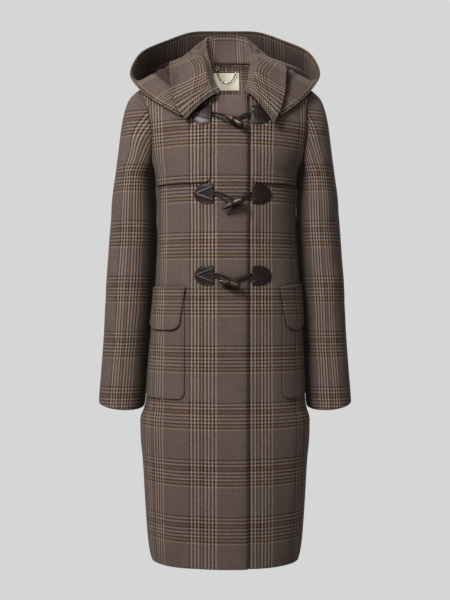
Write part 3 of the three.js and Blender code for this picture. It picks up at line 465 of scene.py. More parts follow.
# The glen check: its period in metres, where it starts, the yarns in a period, their colours,
# the dark and light pairs that a period would hold, and the yarns in a round of the twill
check = {
    "period": 0.1165, "startU": -0.0746, "startV": 0.128, "yarns": 128,
    "light": "#a79283", "weftLight": "#8e786a", "cream": "#a99586", "ochre": "#83674a",
    "rust": "#704a3c", "dark": "#14100e", "navy": "#151829", "plainLight": "#847068",
    "plainDark": "#392e2a", "finePairs": 64.0, "widePairs": 16.0, "round": 4,
}
closeShade = {"wool": 0.055, "satin": 0.07, "power": 1.1}  # reach in metres, and the power


# A colour times a grey value
def dimmed(tree, colour, value):
    grey = addNode(tree, "CombineColor", {0: value, 1: value, 2: value})
    return addNode(
        tree, "Mix", {0: 1.0, 6: colour, 7: grey}, data_type="RGBA", blend_type="MULTIPLY",
    )


# A colour made darker where other cloth stands close: times the open part of the view to a power
def shaded(tree, colour, reach):
    openPart = addNode(tree, "AmbientOcclusion", {"Distance": reach}, samples=8).outputs["AO"]
    dim = addNode(tree, "Math", {0: openPart, 1: closeShade["power"]}, operation="POWER")
    return dimmed(tree, colour, dim)


# A ramp of flat colours over a phase: each row is where a colour starts
def flatRamp(tree, phase, rows):
    ramp = addNode(tree, "ValToRGB", {"Fac": phase})
    stops = ramp.color_ramp
    stops.interpolation = "CONSTANT"
    stops.elements[0].color = linear(check[rows[0][1]])
    stops.elements[1].position = rows[-1][0]
    stops.elements[1].color = linear(check[rows[-1][1]])
    for start, colour in rows[1:-1]:
        stops.elements.new(start).color = linear(check[colour])
    return ramp


# Stripe colours of one direction: in the first half of a period four yarns dark and four
# light, in the second half one and one, with single groups in other colours
def stripeColour(tree, position, rows):
    phase = addNode(tree, "Math", {0: position}, operation="FRACT")
    dense = addNode(tree, "Math", {0: phase, 1: 0.5}, operation="LESS_THAN")
    fewer = addNode(
        tree, "Math", {0: dense, 1: check["finePairs"] - check["widePairs"]}, operation="MULTIPLY",
    )
    pairs = addNode(tree, "Math", {0: check["finePairs"], 1: fewer}, operation="SUBTRACT")
    groups = addNode(tree, "Math", {0: phase, 1: pairs}, operation="MULTIPLY")
    within = addNode(tree, "Math", {0: groups}, operation="FRACT")
    dark = addNode(tree, "Math", {0: within, 1: 0.5}, operation="LESS_THAN")
    ramps = {6: flatRamp(tree, phase, rows["lights"]), 7: flatRamp(tree, phase, rows["darks"])}
    return addNode(tree, "Mix", {0: dark, **ramps}, data_type="RGBA")


warpRows = {
    "lights": [(0, "light"), (0.219, "ochre"), (0.25, "light"), (0.48, "cream"), (0.5, "plainLight")],
    "darks": [(0, "dark"), (0.125, "navy"), (0.1875, "dark"), (0.5, "plainDark")],
}
weftRows = {
    "lights": [
        (0, "weftLight"), (0.156, "rust"), (0.1875, "weftLight"), (0.406, "ochre"),
        (0.4375, "weftLight"), (0.5, "plainLight"),
    ],
    "darks": [(0, "dark"), (0.3125, "navy"), (0.375, "dark"), (0.5, "plainDark")],
}


# Brushed wool: high roughness and a pale sheen of loose fibres. Wobble and bump in metres;
# 560 spots of mixed fibre a metre are coarser than real ones, so that they show
wool = {
    "sheen": "#c8b8a8", "wobbleScale": 160.0, "wobble": 0.0007, "spotScale": 560.0,
    "spots": (0.42, 1.6), "cloudScale": 18.0, "clouds": (0.93, 1.07), "bump": 0.0006,
}
# Painted shade inside the hood, by the place in the cloth: along the rim from its middle at the
# back, where it is darkest, to the front ends, and deeper from the rim inwards
hoodShade = {
    "middleU": 0.045, "alongU": (0.19, 0.34), "alongTone": (0.5, 0.95),
    "acrossV": (0.064, 0.1), "acrossTone": (1.0, 0.6),
}


# Values brought from one range to another, as the inputs of a map node
def ranges(value, source, target):
    return {
        "Value": value, "From Min": source[0], "From Max": source[1], "To Min": target[0],
        "To Max": target[1],
    }


# Glen check wool: two-over-two twill, where the warp shows when the sum of the yarn numbers
# falls in the first half of a round of four
def makeWool(name, inHood=False, shadeTone=1.0):
    material, tree, shader = newMaterial(
        name, Roughness=0.95, Sheen_Weight=0.22,
        Sheen_Roughness=0.55, Sheen_Tint=linear(wool["sheen"]), Specular_IOR_Level=0.18,
    )
    cloth = addNode(tree, "UVMap", uv_map="weave").outputs[0]
    wobble = addNode(tree, "TexNoise", {"Vector": cloth, "Scale": wool["wobbleScale"], "Detail": 2.0})
    centred = addNode(
        tree, "VectorMath", {0: wobble.outputs["Color"], 1: (-0.5, -0.5, -0.5)}, operation="ADD",
    )
    offset = addNode(
        tree, "VectorMath", {0: centred, 1: (wool["wobble"], wool["wobble"], 0.0)},
        operation="MULTIPLY",
    )
    moved = addNode(tree, "VectorMath", {0: cloth, 1: offset}, operation="ADD")
    split = addNode(tree, "SeparateXYZ", {0: moved})
    periods, yarns = [], []
    for axis, start in enumerate((check["startU"], check["startV"])):
        fromStart = addNode(tree, "Math", {0: split.outputs[axis], 1: start}, operation="SUBTRACT")
        period = addNode(tree, "Math", {0: fromStart, 1: check["period"]}, operation="DIVIDE")
        count = addNode(tree, "Math", {0: period, 1: check["yarns"]}, operation="MULTIPLY")
        periods.append(period)
        yarns.append(addNode(tree, "Math", {0: count}, operation="FLOOR"))
    across, down = periods
    both = addNode(tree, "Math", {0: yarns[0], 1: yarns[1]}, operation="ADD")
    rounds = addNode(tree, "Math", {0: both, 1: check["round"]}, operation="DIVIDE")
    twill = addNode(tree, "Math", {0: rounds}, operation="FRACT")
    safe = addNode(tree, "Math", {0: twill, 1: 0.01}, operation="ADD")
    onTop = addNode(tree, "Math", {0: safe, 1: 0.5}, operation="LESS_THAN")
    colour = addNode(
        tree, "Mix",
        {0: onTop, 6: stripeColour(tree, down, weftRows), 7: stripeColour(tree, across, warpRows)},
        data_type="RGBA",
    )
    noise = (0.3, 0.7)
    heather = addNode(tree, "TexNoise", {"Vector": cloth, "Scale": wool["spotScale"], "Detail": 4.0})
    spots = addNode(tree, "MapRange", ranges(heather.outputs["Fac"], noise, wool["spots"]))
    cloudy = addNode(tree, "TexNoise", {"Vector": cloth, "Scale": wool["cloudScale"], "Detail": 2.0})
    # Below one, the tone is painted shade: the whole cloth made darker
    low, high = wool["clouds"]
    clouds = addNode(
        tree, "MapRange", ranges(cloudy.outputs["Fac"], noise, (low * shadeTone, high * shadeTone)),
    )
    mottledWithHoodShade = dimmed(tree, colour, addNode(tree, "Math", {0: spots, 1: clouds}, operation="MULTIPLY"))
    # Painted shade: the hood's facing darker at the back middle and away from the rim
    if inHood:
        fromMiddle = addNode(
            tree, "Math", {0: split.outputs[0], 1: hoodShade["middleU"]}, operation="ADD",
        )
        either = addNode(tree, "Math", {0: fromMiddle}, operation="ABSOLUTE")
        along = addNode(
            tree, "MapRange", ranges(either, hoodShade["alongU"], hoodShade["alongTone"]),
        )
        inwards = addNode(
            tree, "MapRange",
            ranges(split.outputs[1], hoodShade["acrossV"], hoodShade["acrossTone"]),
        )
        least = addNode(tree, "Math", {0: inwards, 1: along}, operation="MAXIMUM")
        mottledWithHoodShade = dimmed(tree, mottledWithHoodShade, addNode(tree, "Math", {0: along, 1: least}, operation="MULTIPLY"))
    tree.links.new(shaded(tree, mottledWithHoodShade, closeShade["wool"]).outputs[2], shader.inputs["Base Color"])
    diagonal = addNode(tree, "Math", {0: across, 1: down}, operation="ADD")
    turns = 2 * math.pi * check["yarns"] / check["round"]
    turn = addNode(tree, "Math", {0: diagonal, 1: turns}, operation="MULTIPLY")
    ridge = addNode(tree, "Math", {0: turn}, operation="SINE")
    low = addNode(tree, "Math", {0: ridge, 1: 0.3}, operation="MULTIPLY")
    height = addNode(tree, "Math", {0: low, 1: heather.outputs["Fac"]}, operation="ADD")
    bump = addNode(tree, "Bump", {"Height": height, "Strength": 0.35, "Distance": wool["bump"]})
    tree.links.new(bump.outputs[0], shader.inputs["Normal"])
    return material


# Plain surface with a noise bump: grain size, depth and a colour spread round the base colour
def makeGrained(
    name, colour, second, scale, depth, stretch=(1, 1, 1), mixAt=(0.4, 0.6), reach=0.0, **values,
):
    material, tree, shader = newMaterial(name, **values)
    spot = addNode(tree, "TexCoord").outputs["Object"]
    stretched = addNode(tree, "Mapping", {"Vector": spot, "Scale": stretch})
    noise = addNode(tree, "TexNoise", {"Vector": stretched, "Scale": scale, "Detail": 4.0})
    spread = addNode(tree, "MapRange", ranges(noise.outputs["Fac"], mixAt, (0.0, 1.0)))
    mixed = addNode(
        tree, "Mix", {0: spread, 6: linear(colour), 7: linear(second)}, data_type="RGBA",
    )
    if reach:
        mixed = shaded(tree, mixed, reach)
    tree.links.new(mixed.outputs[2], shader.inputs["Base Color"])
    bump = addNode(
        tree, "Bump", {"Height": noise.outputs["Fac"], "Strength": 0.5, "Distance": depth},
    )
    tree.links.new(bump.outputs[0], shader.inputs["Normal"])
    return material


materials = {
    "wool": makeWool("wool glen check, woven twill, brushed"),
    "woolInHood": makeWool("wool glen check, woven twill, in the hood's shade", True),
    # Painted shade: the collar's wool is the body's wool made darker by its tone
    "woolOnCollar": makeWool("wool glen check, woven twill, on the collar", shadeTone=0.86),
    "satin": makeGrained(
        "satin lining, woven", "#3a2422", "#472c2a", 700.0, 0.0001, reach=closeShade["satin"],
        Roughness=0.5, Specular_IOR_Level=0.4, Sheen_Weight=0.1,
    ),
    "leather": makeGrained(
        "leather, tanned and pressed", "#1b1110", "#2a1a18", 900.0, 0.00025, Roughness=0.36,
        Specular_IOR_Level=0.4, Coat_Weight=0.12, Coat_Roughness=0.25,
    ),
    "horn": makeGrained(
        "horn, turned and polished", "#1a0f0b", "#573a26", 60.0, 0.0001, stretch=(1, 1, 4),
        mixAt=(0.3, 0.7), Roughness=0.38, Coat_Weight=0.15, Coat_Roughness=0.25,
    ),
    "cord": makeGrained(
        "cord, twisted cotton", "#1d1614", "#2c211d", 1500.0, 0.0004, Roughness=0.75,
    ),
    "steel": makeGrained(
        "steel, nickel plated", "#b9b6b0", "#d2cfc8", 300.0, 0.00002, Roughness=0.24, Metallic=1.0,
    ),
    "label": makeGrained(
        "label, woven polyester", "#e2d8c0", "#ece3cc", 2200.0, 0.0002, Roughness=0.6,
        Sheen_Weight=0.2,
    ),
    "thread": makeGrained(
        "thread, spun polyester", "#3b312c", "#493d36", 1800.0, 0.0001, Roughness=0.8,
    ),
}
print("materials made")


# A mesh object from points in millimetres, faces of four and the place in the cloth by corner
def makeObject(name, points, faces, material, places=None):
    mesh = bpy.data.meshes.new(name)
    mesh.vertices.add(len(points))
    mesh.vertices.foreach_set("co", (points * 0.001).ravel())
    mesh.loops.add(faces.size)
    mesh.loops.foreach_set("vertex_index", faces.ravel())
    mesh.polygons.add(len(faces))
    sides = faces.shape[1]
    mesh.polygons.foreach_set("loop_start", np.arange(0, faces.size, sides))
    mesh.polygons.foreach_set("use_smooth", np.ones(len(faces), bool))
    if places is not None:
        layer = mesh.uv_layers.new(name="weave")
        layer.data.foreach_set("uv", (places * 0.001).reshape(-1, 2).ravel())
    mesh.update(calc_edges=True)
    mesh.validate()
    mesh.materials.append(materials[material])
    made = bpy.data.objects.new(name, mesh)
    bpy.context.scene.collection.objects.link(made)
    return made


# Signed volume of a mesh of four-cornered faces, from its two triangles each
def signedVolume(points, faces):
    a, b, c, d = (points[faces[:, k]] for k in range(4))
    return np.sum(a * np.cross(b, c)) + np.sum(a * np.cross(c, d))


# Faces of four between the neighbours of an index grid
def quads(grid):
    return np.stack([grid[:-1, :-1], grid[1:, :-1], grid[1:, 1:], grid[:-1, 1:]], -1).reshape(-1, 4)


# Closed wall over a grid: outer and inner points half a wall from its middle, drawn together
# to a round edge at its borders
def shell(name, points, normals, wall, places, material, loop=False, edge=1.5, centre=False):
    rows, columns = points.shape[:2]
    middle = points - normals * (wall / 2)
    fromTop = runLength(middle, 0)
    border = fromTop[-1:] - fromTop
    if not centre:
        border = np.minimum(border, fromTop)
    if not loop:
        fromSide = runLength(middle, 1)
        border = np.minimum(border, np.minimum(fromSide, fromSide[:, -1:] - fromSide))
    near = np.clip(border / edge, 0, 1)
    half = wall / 2 * np.maximum(np.sqrt(1 - (1 - near) ** 2), 0.3)
    outer = middle + normals * half[..., None]
    inner = middle - normals * half[..., None]
    index = np.arange(rows * columns).reshape(rows, columns)
    cells = np.arange(rows * (columns + 1)).reshape(rows, columns + 1) if loop else index
    if loop:
        index = np.concatenate([index, index[:, :1]], axis=1)
    count = rows * columns
    top = quads(index)
    topCells = quads(cells)
    parts = [top, top[:, ::-1] + count]
    cellParts = [topCells, topCells[:, ::-1]]
    borders = [(index[0], cells[0]), (index[-1, ::-1], cells[-1, ::-1])]
    if not loop:
        borders += [(index[::-1, 0], cells[::-1, 0]), (index[:, -1], cells[:, -1])]
    for line, cellLine in borders:
        parts.append(np.stack([line[:-1], line[1:], line[1:] + count, line[:-1] + count], -1))
        cellParts.append(np.stack([cellLine[:-1], cellLine[1:], cellLine[1:], cellLine[:-1]], -1))
    faces = np.concatenate(parts)
    cornerCells = np.concatenate(cellParts)
    everything = np.concatenate([outer.reshape(-1, 3), inner.reshape(-1, 3)])
    if signedVolume(everything, faces) < 0:
        faces = faces[:, ::-1]
        cornerCells = cornerCells[:, ::-1]
    uv = places.reshape(-1, 2)[cornerCells]
    return makeObject(name, everything, faces, material, uv)


# Points along a line at an even pitch, with the values of other columns at the same places
def evenly(line, pitch, *others):
    steps = np.linalg.norm(np.diff(line, axis=0), axis=1)
    run = np.concatenate([[0], np.cumsum(steps)])
    at = np.arange(pitch / 2, run[-1], pitch)
    result = [np.stack([np.interp(at, run, item[:, k]) for k in range(item.shape[1])], 1)
              for item in (line, *others)]
    return result


# Stitches along lines: each is a slim eight-sided bead, raised a little from the cloth
def stitches(name, lines, pitch=4.2, length=2.9, radius=0.42, material="thread"):
    allPoints, allFaces, start = [], [], 0
    for line, normals in lines:
        centre, normal = evenly(line, pitch, normals)
        if len(centre) < 2:
            continue
        direction = unit(np.gradient(centre, axis=0))
        normal = unit(normal)
        side = unit(np.cross(direction, normal))
        lifted = centre + normal * radius * 0.35
        ring = [side, normal, -side, -normal]
        points = np.stack(
            [lifted - direction * length / 2]
            + [lifted - direction * length / 4 + v * radius for v in ring]
            + [lifted + direction * length / 4 + v * radius for v in ring]
            + [lifted + direction * length / 2], axis=1)
        n = len(centre)
        faces = []
        for k in range(4):
            m = (k + 1) % 4
            faces += [
                [0, 1 + m, 1 + k, 1 + k], [1 + k, 1 + m, 5 + m, 5 + k], [9, 5 + k, 5 + m, 5 + m],
            ]
        base = np.array(faces)
        allFaces.append((base[None] + 10 * np.arange(n)[:, None, None]).reshape(-1, 4) + start)
        allPoints.append(points.reshape(-1, 3))
        start += 10 * n
    points = np.concatenate(allPoints)
    faces = np.concatenate(allFaces)
    return makeTriObject(name, points, faces, material)


# As makeObject, for faces that may repeat a corner: every face becomes its real triangles
def makeTriObject(name, points, faces, material):
    first = faces[:, [0, 1, 2]]
    second = faces[:, [0, 2, 3]]
    triangles = np.concatenate([first, second[second[:, 1] != second[:, 2]]])
    return makeObject(name, points, triangles, material)


# A piece rides on the body and stands for its CAD nodes, which are hidden; its slot is not used
def place(made, slot, *nodes):
    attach(made, "root")
    if nodes:
        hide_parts(*nodes)
    return made


# Area and longest row and column of a grid, in metres, printed with the piece's name
def tellCut(name, points, loop=False):
    ring = np.concatenate([points, points[:, :1]], axis=1) if loop else points
    width = runLength(ring, 1)[:, -1].max() / 1000
    length = runLength(ring, 0)[-1].max() / 1000
    first, last, down, right = ring[:-1, :-1], ring[1:, 1:], ring[1:, :-1], ring[:-1, 1:]
    doubled = [np.cross(down - corner, right - corner) for corner in (first, last)]
    area = sum(np.linalg.norm(part, axis=2).sum() for part in doubled) / 2 / 1e6
    print(f"cut {name}: width {width:.3f} length {length:.3f} area {area:.4f}")


# A cloth piece with its cut: shell and place in one
def clothPiece(name, points, normals, places, spec, loop=False, material="wool"):
    made = shell(name + "_cloth", points, normals, spec["wall"], places, material, loop)
    place(made, spec["slot"], *spec["nodes"])
    tellCut(name, points, loop)
    return made


# Parts across a panel's top: along the closure, round the neck at these angles, and then
# along the shoulder
frontTop = {"parts": 13, "neckFrom": 3, "neckTo": 8, "neckAngles": [21, 34, 48, 62, 76, 90]}
backTop = {"parts": 10, "neckFrom": 0, "neckTo": 5, "neckAngles": [180, 158, 138, 120, 105, 90]}


# Place across the top in parts, its angle round the neck and its x on the shoulder seam
def alongTop(s, top):
    c = s * top["parts"]
    knots = np.linspace(top["neckFrom"], top["neckTo"], len(top["neckAngles"]))
    onSeam = np.clip((c - top["neckTo"]) / (top["parts"] - top["neckTo"]), 0, 1)
    neckAngle = np.interp(c, knots, top["neckAngles"])
    return c, neckAngle, lerp(coat["neckHalfWidth"], coat["shoulderX"], onSeam)


# x beside the armhole: from the panel's top to its armpit level, drawn with the square of the
# column parameter towards the armhole's own edge. Also the share of the way down
def besideArmhole(topX, low, s, turned, edge, side):
    t = (1 - np.cos(np.radians(turned))) / 2
    bottomEnd = side * halfWidthAt(coat["armpitZ"], side)
    straight = lerp(side * coat["shoulderX"], bottomEnd, t)
    return lerp(topX, low, t) + s * s * (edge[..., 0] - straight), t


# Front panel: a row parameter from 0 to 1 runs down the armhole, from 1 to 2 down the skirt;
# the columns blend from the closure's edge to the armhole and side seam
def frontPlace(side, closureX, s, w):
    c, neckAngle, seamX = alongTop(s, frontTop)
    seamX = side * seamX
    neckX = side * neckSeam["halfWidth"](neckAngle) + neckSeam["shift"](neckAngle)
    neckZ = neckSeam["z"](neckAngle)
    neckFrom, neckTo = frontTop["neckFrom"], frontTop["neckTo"]
    endAngle = frontTop["neckAngles"][0]
    endX = side * neckSeam["halfWidth"](endAngle) + neckSeam["shift"](endAngle)
    edgeX = lerp(closureX, endX, np.clip(c / neckFrom, 0, 1))
    topX = np.where(c < neckFrom, edgeX, np.where(c < neckTo, neckX, seamX))
    shoulderZ = np.where(c < neckTo, neckZ, shoulderTop(seamX))
    topZ = np.where(c < neckFrom, neckSeam["z"](endAngle), shoulderZ)
    z = np.where(w <= 1, 0.0, lerp(coat["armpitZ"], coat["hemZ"], w - 1))
    level = np.where(w <= 1, coat["armpitZ"], z)
    start = angleAt(closureX, level, side)
    low = bodyPoint(lerp(start, 90, s), level, side, frontFace)[..., 0]
    turned = 180 * np.clip(w, 0, 1)
    upX, t = besideArmhole(topX, low, s, turned, armholePoints(turned, side), side)
    upZ = lerp(topZ, coat["armpitZ"], t)
    x = np.where(w <= 1, upX, low)
    z = np.where(w <= 1, np.minimum(upZ, shoulderTop(upX)), z)
    return x, z


# Points and normals of a front at a lift, and the places in its cloth
def frontSurface(side, closureX, s, w, lift=0.0):
    x, z = frontPlace(side, closureX, s, w)
    points, normals = onPanel(x, z, side, frontFace, np.full(x.shape, lift))
    points[..., 1] -= coat["seamGap"] / 2
    return points, normals, clothPlace(x, z, frontFace)


# Rows and columns: how many, and over what length in millimetres
skirtLength = coat["armpitZ"] - coat["hemZ"]
frontRows = np.concatenate([
    spaced(40, 240, (True, False)), 1 + spaced(112, skirtLength, (False, True))[1:],
])
frontColumns = spaced(72, 260)

fronts = {
    "front_right": {
        "side": rightSide, "closureX": lap["edgeX"], "wall": coat["wall"], "slot": "wool",
        "nodes": ["front_right"], "flat": (0.325, 1.117), "area": 0.284, "held": "hung",
        "on": ["back"],
    },
    "front_left": {
        "side": leftSide, "closureX": lap["underEdgeX"], "wall": coat["wall"], "slot": "wool",
        "nodes": ["front_left"], "flat": (0.318, 1.119), "area": 0.255, "held": "hung",
        "on": ["back"],
    },
}
for name, spec in fronts.items():
    w, s = np.meshgrid(frontRows, frontColumns, indexing="ij")
    points, normals, places = frontSurface(spec["side"], spec["closureX"], s, w)
    clothPiece(name, points, normals, places, spec)
print("fronts made")


# Half of the back: as the fronts, from the centre of the neck to an armhole and side seam
def backPlace(side, s, w):
    c, neckAngle, seamX = alongTop(s, backTop)
    turn = np.radians(180 - neckAngle)
    onNeck = c < backTop["neckTo"]
    topX = np.where(onNeck, coat["neckHalfWidth"] * np.sin(turn), seamX)
    topZ = np.where(onNeck, coat["neckBackZ"] * np.cos(turn), shoulderTop(seamX))
    skirtZ = lerp(coat["armpitZ"], coat["hemZ"], w - 1)
    level = np.where(w <= 1, coat["armpitZ"], skirtZ)
    low = bodyPoint(90 * s, level, side, backFace)[..., 0]
    turned = 180 * np.clip(w, 0, 1)
    edge = armholePoints(360 - turned, side)
    upX, t = besideArmhole(side * topX, low, s, turned, edge, side)
    upZ = lerp(topZ, coat["armpitZ"], t)
    return np.where(w <= 1, upX, low), np.where(w <= 1, upZ, skirtZ)


back = {
    "wall": coat["wall"], "slot": "wool", "nodes": ["back"], "flat": (0.506, 1.112), "area": 0.480,
    "held": "hung", "on": ["front_right", "front_left"],
}
halves = []
for side in (rightSide, leftSide):
    w, s = np.meshgrid(frontRows, spaced(60, 230, (False, True)), indexing="ij")
    x, z = backPlace(side, s, w)
    points, normals = onPanel(x, z, side, backFace)
    points[..., 1] += coat["seamGap"] / 2
    halves.append((points, normals, clothPlace(x, z, backFace)))
joined = [np.concatenate([right[:, :0:-1], left], axis=1) for right, left in zip(*halves)]
clothPiece("back", *joined, back)
print("back made")


# Sleeve section at a height: an oval round the table's centre, leaning with the body
def sleeveSection(theta, z, side):
    lean = side * bodyTable["lean"](z) * ease(-150, -245, z)
    centre = sleeveTable["centre"](z) + lean / 2
    half = sleeveTable["outer"](z) - centre
    turn = np.radians(theta)
    return points3(
        side * (centre + half * np.cos(turn)),
        sleeveTable["centreY"](z) - sleeveTable["halfDepth"](z) * np.sin(turn), z,
    )


# Sleeve creases, in millimetres round from the front's middle and in height
sleeveCreases = {
    "right": np.array([
        [-46, -172, 58, -232, 12, -1.7], [-52, -206, 50, -268, 10, 1.6], [-30, -146, 66, -196, 11, 1.3],
        [16, -298, 82, -332, 14, 1.4], [-84, -330, -20, -382, 18, -1.5], [8, -392, 86, -418, 15, -1.6],
        [-62, -440, 40, -468, 18, 1.4], [-88, -498, 0, -540, 20, -1.3], [20, -520, 92, -574, 16, 1.4],
        [-40, -600, 60, -640, 20, -1.2], [-12, -660, 8, -712, 22, 1.0], [128, -196, 236, -258, 14, 1.6],
        [140, -326, 226, -388, 16, -1.5], [118, -426, 246, -462, 18, 1.3],
        [150, -556, 236, -602, 18, -1.2],
    ], float),
    "left": np.array([
        [-40, -160, 62, -214, 11, -1.5], [-56, -196, 44, -250, 11, 1.5], [-20, -136, 60, -172, 10, 1.1],
        [20, -284, 88, -316, 15, 1.5], [-80, -318, -10, -362, 17, -1.4], [0, -380, 84, -412, 16, -1.5],
        [-70, -452, 34, -486, 18, 1.5], [-84, -512, 6, -548, 18, -1.2], [26, -500, 90, -548, 16, 1.2],
        [-30, -612, 66, -656, 20, -1.3], [-20, -668, 0, -716, 20, 1.0], [124, -206, 240, -272, 15, 1.5],
        [136, -338, 232, -396, 16, -1.6], [122, -440, 250, -480, 18, 1.3],
        [146, -568, 240, -612, 18, -1.2],
    ], float),
}
cuff = {"z": -724.5, "sideTilt": 4.5, "frontTilt": 10.5, "round": 60.0}
# The armpit point lies a little out, the creases are scaled, and the inner side is drawn in to
# a gap from the body; the cloth's own zero lies at "placeX", "placeZ"
sleeveForm = {
    "armpitOut": 0.6, "armpitWidth": 14, "startShare": 0.1, "creaseScale": 1.4, "bodyGap": 0.8,
    "mostMove": 6, "placeX": 45.5, "placeZ": 25,
}


# Sleeve surface: sections by height, with the armhole's shape fading out in the first tenth
def sleeveSurface(side, w, theta):
    start = armholePoints(theta, side)
    nearArmpit = np.exp(-((theta - 180) / sleeveForm["armpitWidth"]) ** 2)
    start[..., 0] += side * sleeveForm["armpitOut"] * nearArmpit
    turn = np.radians(theta)
    endZ = cuff["z"] + cuff["sideTilt"] * np.cos(turn) - cuff["frontTilt"] * np.sin(turn)
    fade = (1 - np.minimum(w / sleeveForm["startShare"], 1)) ** 2
    correction = start - sleeveSection(theta, start[..., 2], side)
    return sleeveSection(theta, lerp(start[..., 2], endZ, w), side) + correction * fade[..., None]


sleeves = {
    "right": {
        "side": rightSide, "wall": coat["wall"], "slot": "wool", "nodes": ["sleeve_right"],
        "flat": (0.538, 0.679), "area": 0.214, "held": "hung", "on": ["front_right", "back"],
    },
    "left": {
        "side": leftSide, "wall": coat["wall"], "slot": "wool", "nodes": ["sleeve_left"],
        "flat": (0.533, 0.679), "area": 0.205, "held": "hung", "on": ["front_left", "back"],
    },
}
sleeveRows = np.concatenate([
    [0, 0.0006, 0.0015, 0.004], np.linspace(0.01, 0.994, 100), [0.9965, 0.9985, 1],
])
for word, spec in sleeves.items():
    side = spec["side"]
    thetas = np.arange(0, 360, 3.6)
    w, theta = np.meshgrid(sleeveRows, thetas, indexing="ij")
    points = sleeveSurface(side, w, theta)
    normals = gridNormals(points, loop=True) * side
    rounds = (theta - 90) * math.pi / 180 * cuff["round"]
    soft = creaseAt(rounds, points[..., 2], sleeveCreases[word])
    soft = sleeveForm["creaseScale"] * soft * ease(0.02, 0.12, w) * ease(1.0, 0.96, w)
    points = points + normals * soft[..., None]
    nearest = np.argmin(np.abs(points[..., 0]), axis=1)
    rowIndex = np.arange(len(points))
    innerX, innerZ = np.abs(points[rowIndex, nearest, 0]), points[rowIndex, nearest, 2]
    past = innerX - halfWidthAt(innerZ, side) - sleeveForm["bodyGap"]
    toBody = np.clip(past, 0, sleeveForm["mostMove"]) * ease(-160, -190, innerZ)
    points[..., 0] -= side * toBody[:, None] * ((1 - np.cos(np.radians(theta))) / 2) ** 2
    closed = np.concatenate([rounds, rounds[:, :1] + 2 * math.pi * cuff["round"]], axis=1)
    level = np.concatenate([points[..., 2], points[:, :1, 2]], axis=1)
    places = np.stack([closed - sleeveForm["placeX"], sleeveForm["placeZ"] - level], axis=-1)
    clothPiece("sleeve_" + word, points, normals, places, spec, loop=True)
print("sleeves made")


# Distance outside the body and its direction, from the level of its rounded form
def bodyDistance(p):
    side = np.where(p[..., 0] < 0, -1, 1)
    face = np.where(p[..., 1] < 0, -1, 1)

    # Level of the rounded form: 0 on the surface, more than 0 outside
    def level(x, y, z):
        rise, power, top, start = shoulderArch(x, face)
        half = halfWidthAt(z, side)
        depth = np.where(face < 0, bodyTable["front"](z), bodyTable["back"](z))
        roundness = coat["roundness"]
        plan = np.maximum(1 - np.minimum(np.abs(x) / half, 0.98) ** roundness, 0) ** (1 / roundness)
        up = np.maximum((z - (top - rise)) / rise, 0)
        out = np.maximum((np.abs(y) - start) / (depth * plan - start), 0)
        return (out ** power + up ** power) ** (1 / power) - 1

    x, y, z = p[..., 0], p[..., 1], p[..., 2]
    step = 0.5
    gradient = points3(
        level(x + step, y, z) - level(x - step, y, z),
        (level(x, y + step * face, z) - level(x, y - step * face, z)) * face,
        level(x, y, z + step) - level(x, y, z - step),
    ) / (2 * step)
    steep = np.maximum(np.linalg.norm(gradient, axis=-1), 1e-4)
    return level(x, y, z) / steep, gradient / steep[..., None]


# Moves points out until they are a gap away, along the normal or, with forward 1, to the front
def keepClear(p, gap, forward):
    for _ in range(6):
        distance, direction = bodyDistance(p)
        short = gap - distance
        way = unit(lerp(direction, np.array([0.0, -1.0, 0.0]), np.asarray(forward)[..., None]))
        dot = np.maximum(np.sum(way * direction, axis=-1), 0.4)
        p = p + way * (np.maximum(short, 0) / dot)[..., None]
    return p


room = {"behind": 3, "front": 6.6, "ridge": 7}


# Room under the hood and the collar: more in front and on the shoulder's ridge
def roomAt(y, reach):
    ridge = room["ridge"] * np.maximum(1 - (y / reach) ** 2, 0)
    return lerp(room["behind"], room["front"], ease(30, 8, y)) + ridge


# Values on the right and then back on the left, with the centre back once
def acrossBack(values, surface):
    right = surface(values, rightSide)
    left = surface(values, leftSide)
    return np.concatenate([right, left[:, -2::-1]], axis=1)


# Points at fractions of each column's length
def atFractions(points, fractions):
    run = runLength(points, 0)
    result = np.zeros((len(fractions(1.0)), points.shape[1], 3))
    for c in range(points.shape[1]):
        at = fractions(run[-1, c]) * run[-1, c]
        for k in range(3):
            result[:, c, k] = np.interp(at, run[:, c], points[:, c, k])
    return result


# Grid smoothed along its rows: each point drawn to the mean of its neighbours, some times over,
# while the columns next to both ends are kept
def softened(points, times, keep):
    for _ in range(times):
        mean = (points[:, :-2] + 2 * points[:, 1:-1] + points[:, 2:]) / 4
        points[:, 1 + keep:-1 - keep] = mean[:, keep:mean.shape[1] - keep]
    return points


# Smooth curve through points: cubic pieces with knots by the root of the distances
def throughPoints(keys, count):
    points = [2 * keys[0] - keys[1], *keys, 2 * keys[-1] - keys[-2]]
    t = np.linspace(0, len(keys) - 1, count)
    piece = np.minimum(t.astype(int), len(keys) - 2)
    rows = []
    for i, u in zip(piece, t - piece):
        x0, x1, x2, x3 = points[i:i + 4]
        knots = [np.maximum(np.sqrt(np.linalg.norm(b - a, axis=-1)), 1e-4)[..., None]
                 for a, b in ((x0, x1), (x1, x2), (x2, x3))]
        d0, d1, d2 = knots
        t1 = ((x1 - x0) / d0 - (x2 - x0) / (d0 + d1) + (x2 - x1) / d1) * d1
        t2 = ((x2 - x1) / d1 - (x3 - x1) / (d1 + d2) + (x3 - x2) / d2) * d1
        square = 3 * x2 - 3 * x1 - 2 * t1 - t2
        cube = 2 * x1 - 2 * x2 + t1 + t2
        rows.append(x1 + t1 * u + square * u * u + cube * u ** 3)
    return np.stack(rows)


# A rib starts a step from the neck seam, keeps a small gap there and more further on
hood = {
    "neckStep": 9, "ribPoints": 97, "neckGap": 1.4, "ridgeReach": 45, "softRounds": 8,
    "keepColumns": 10,
}


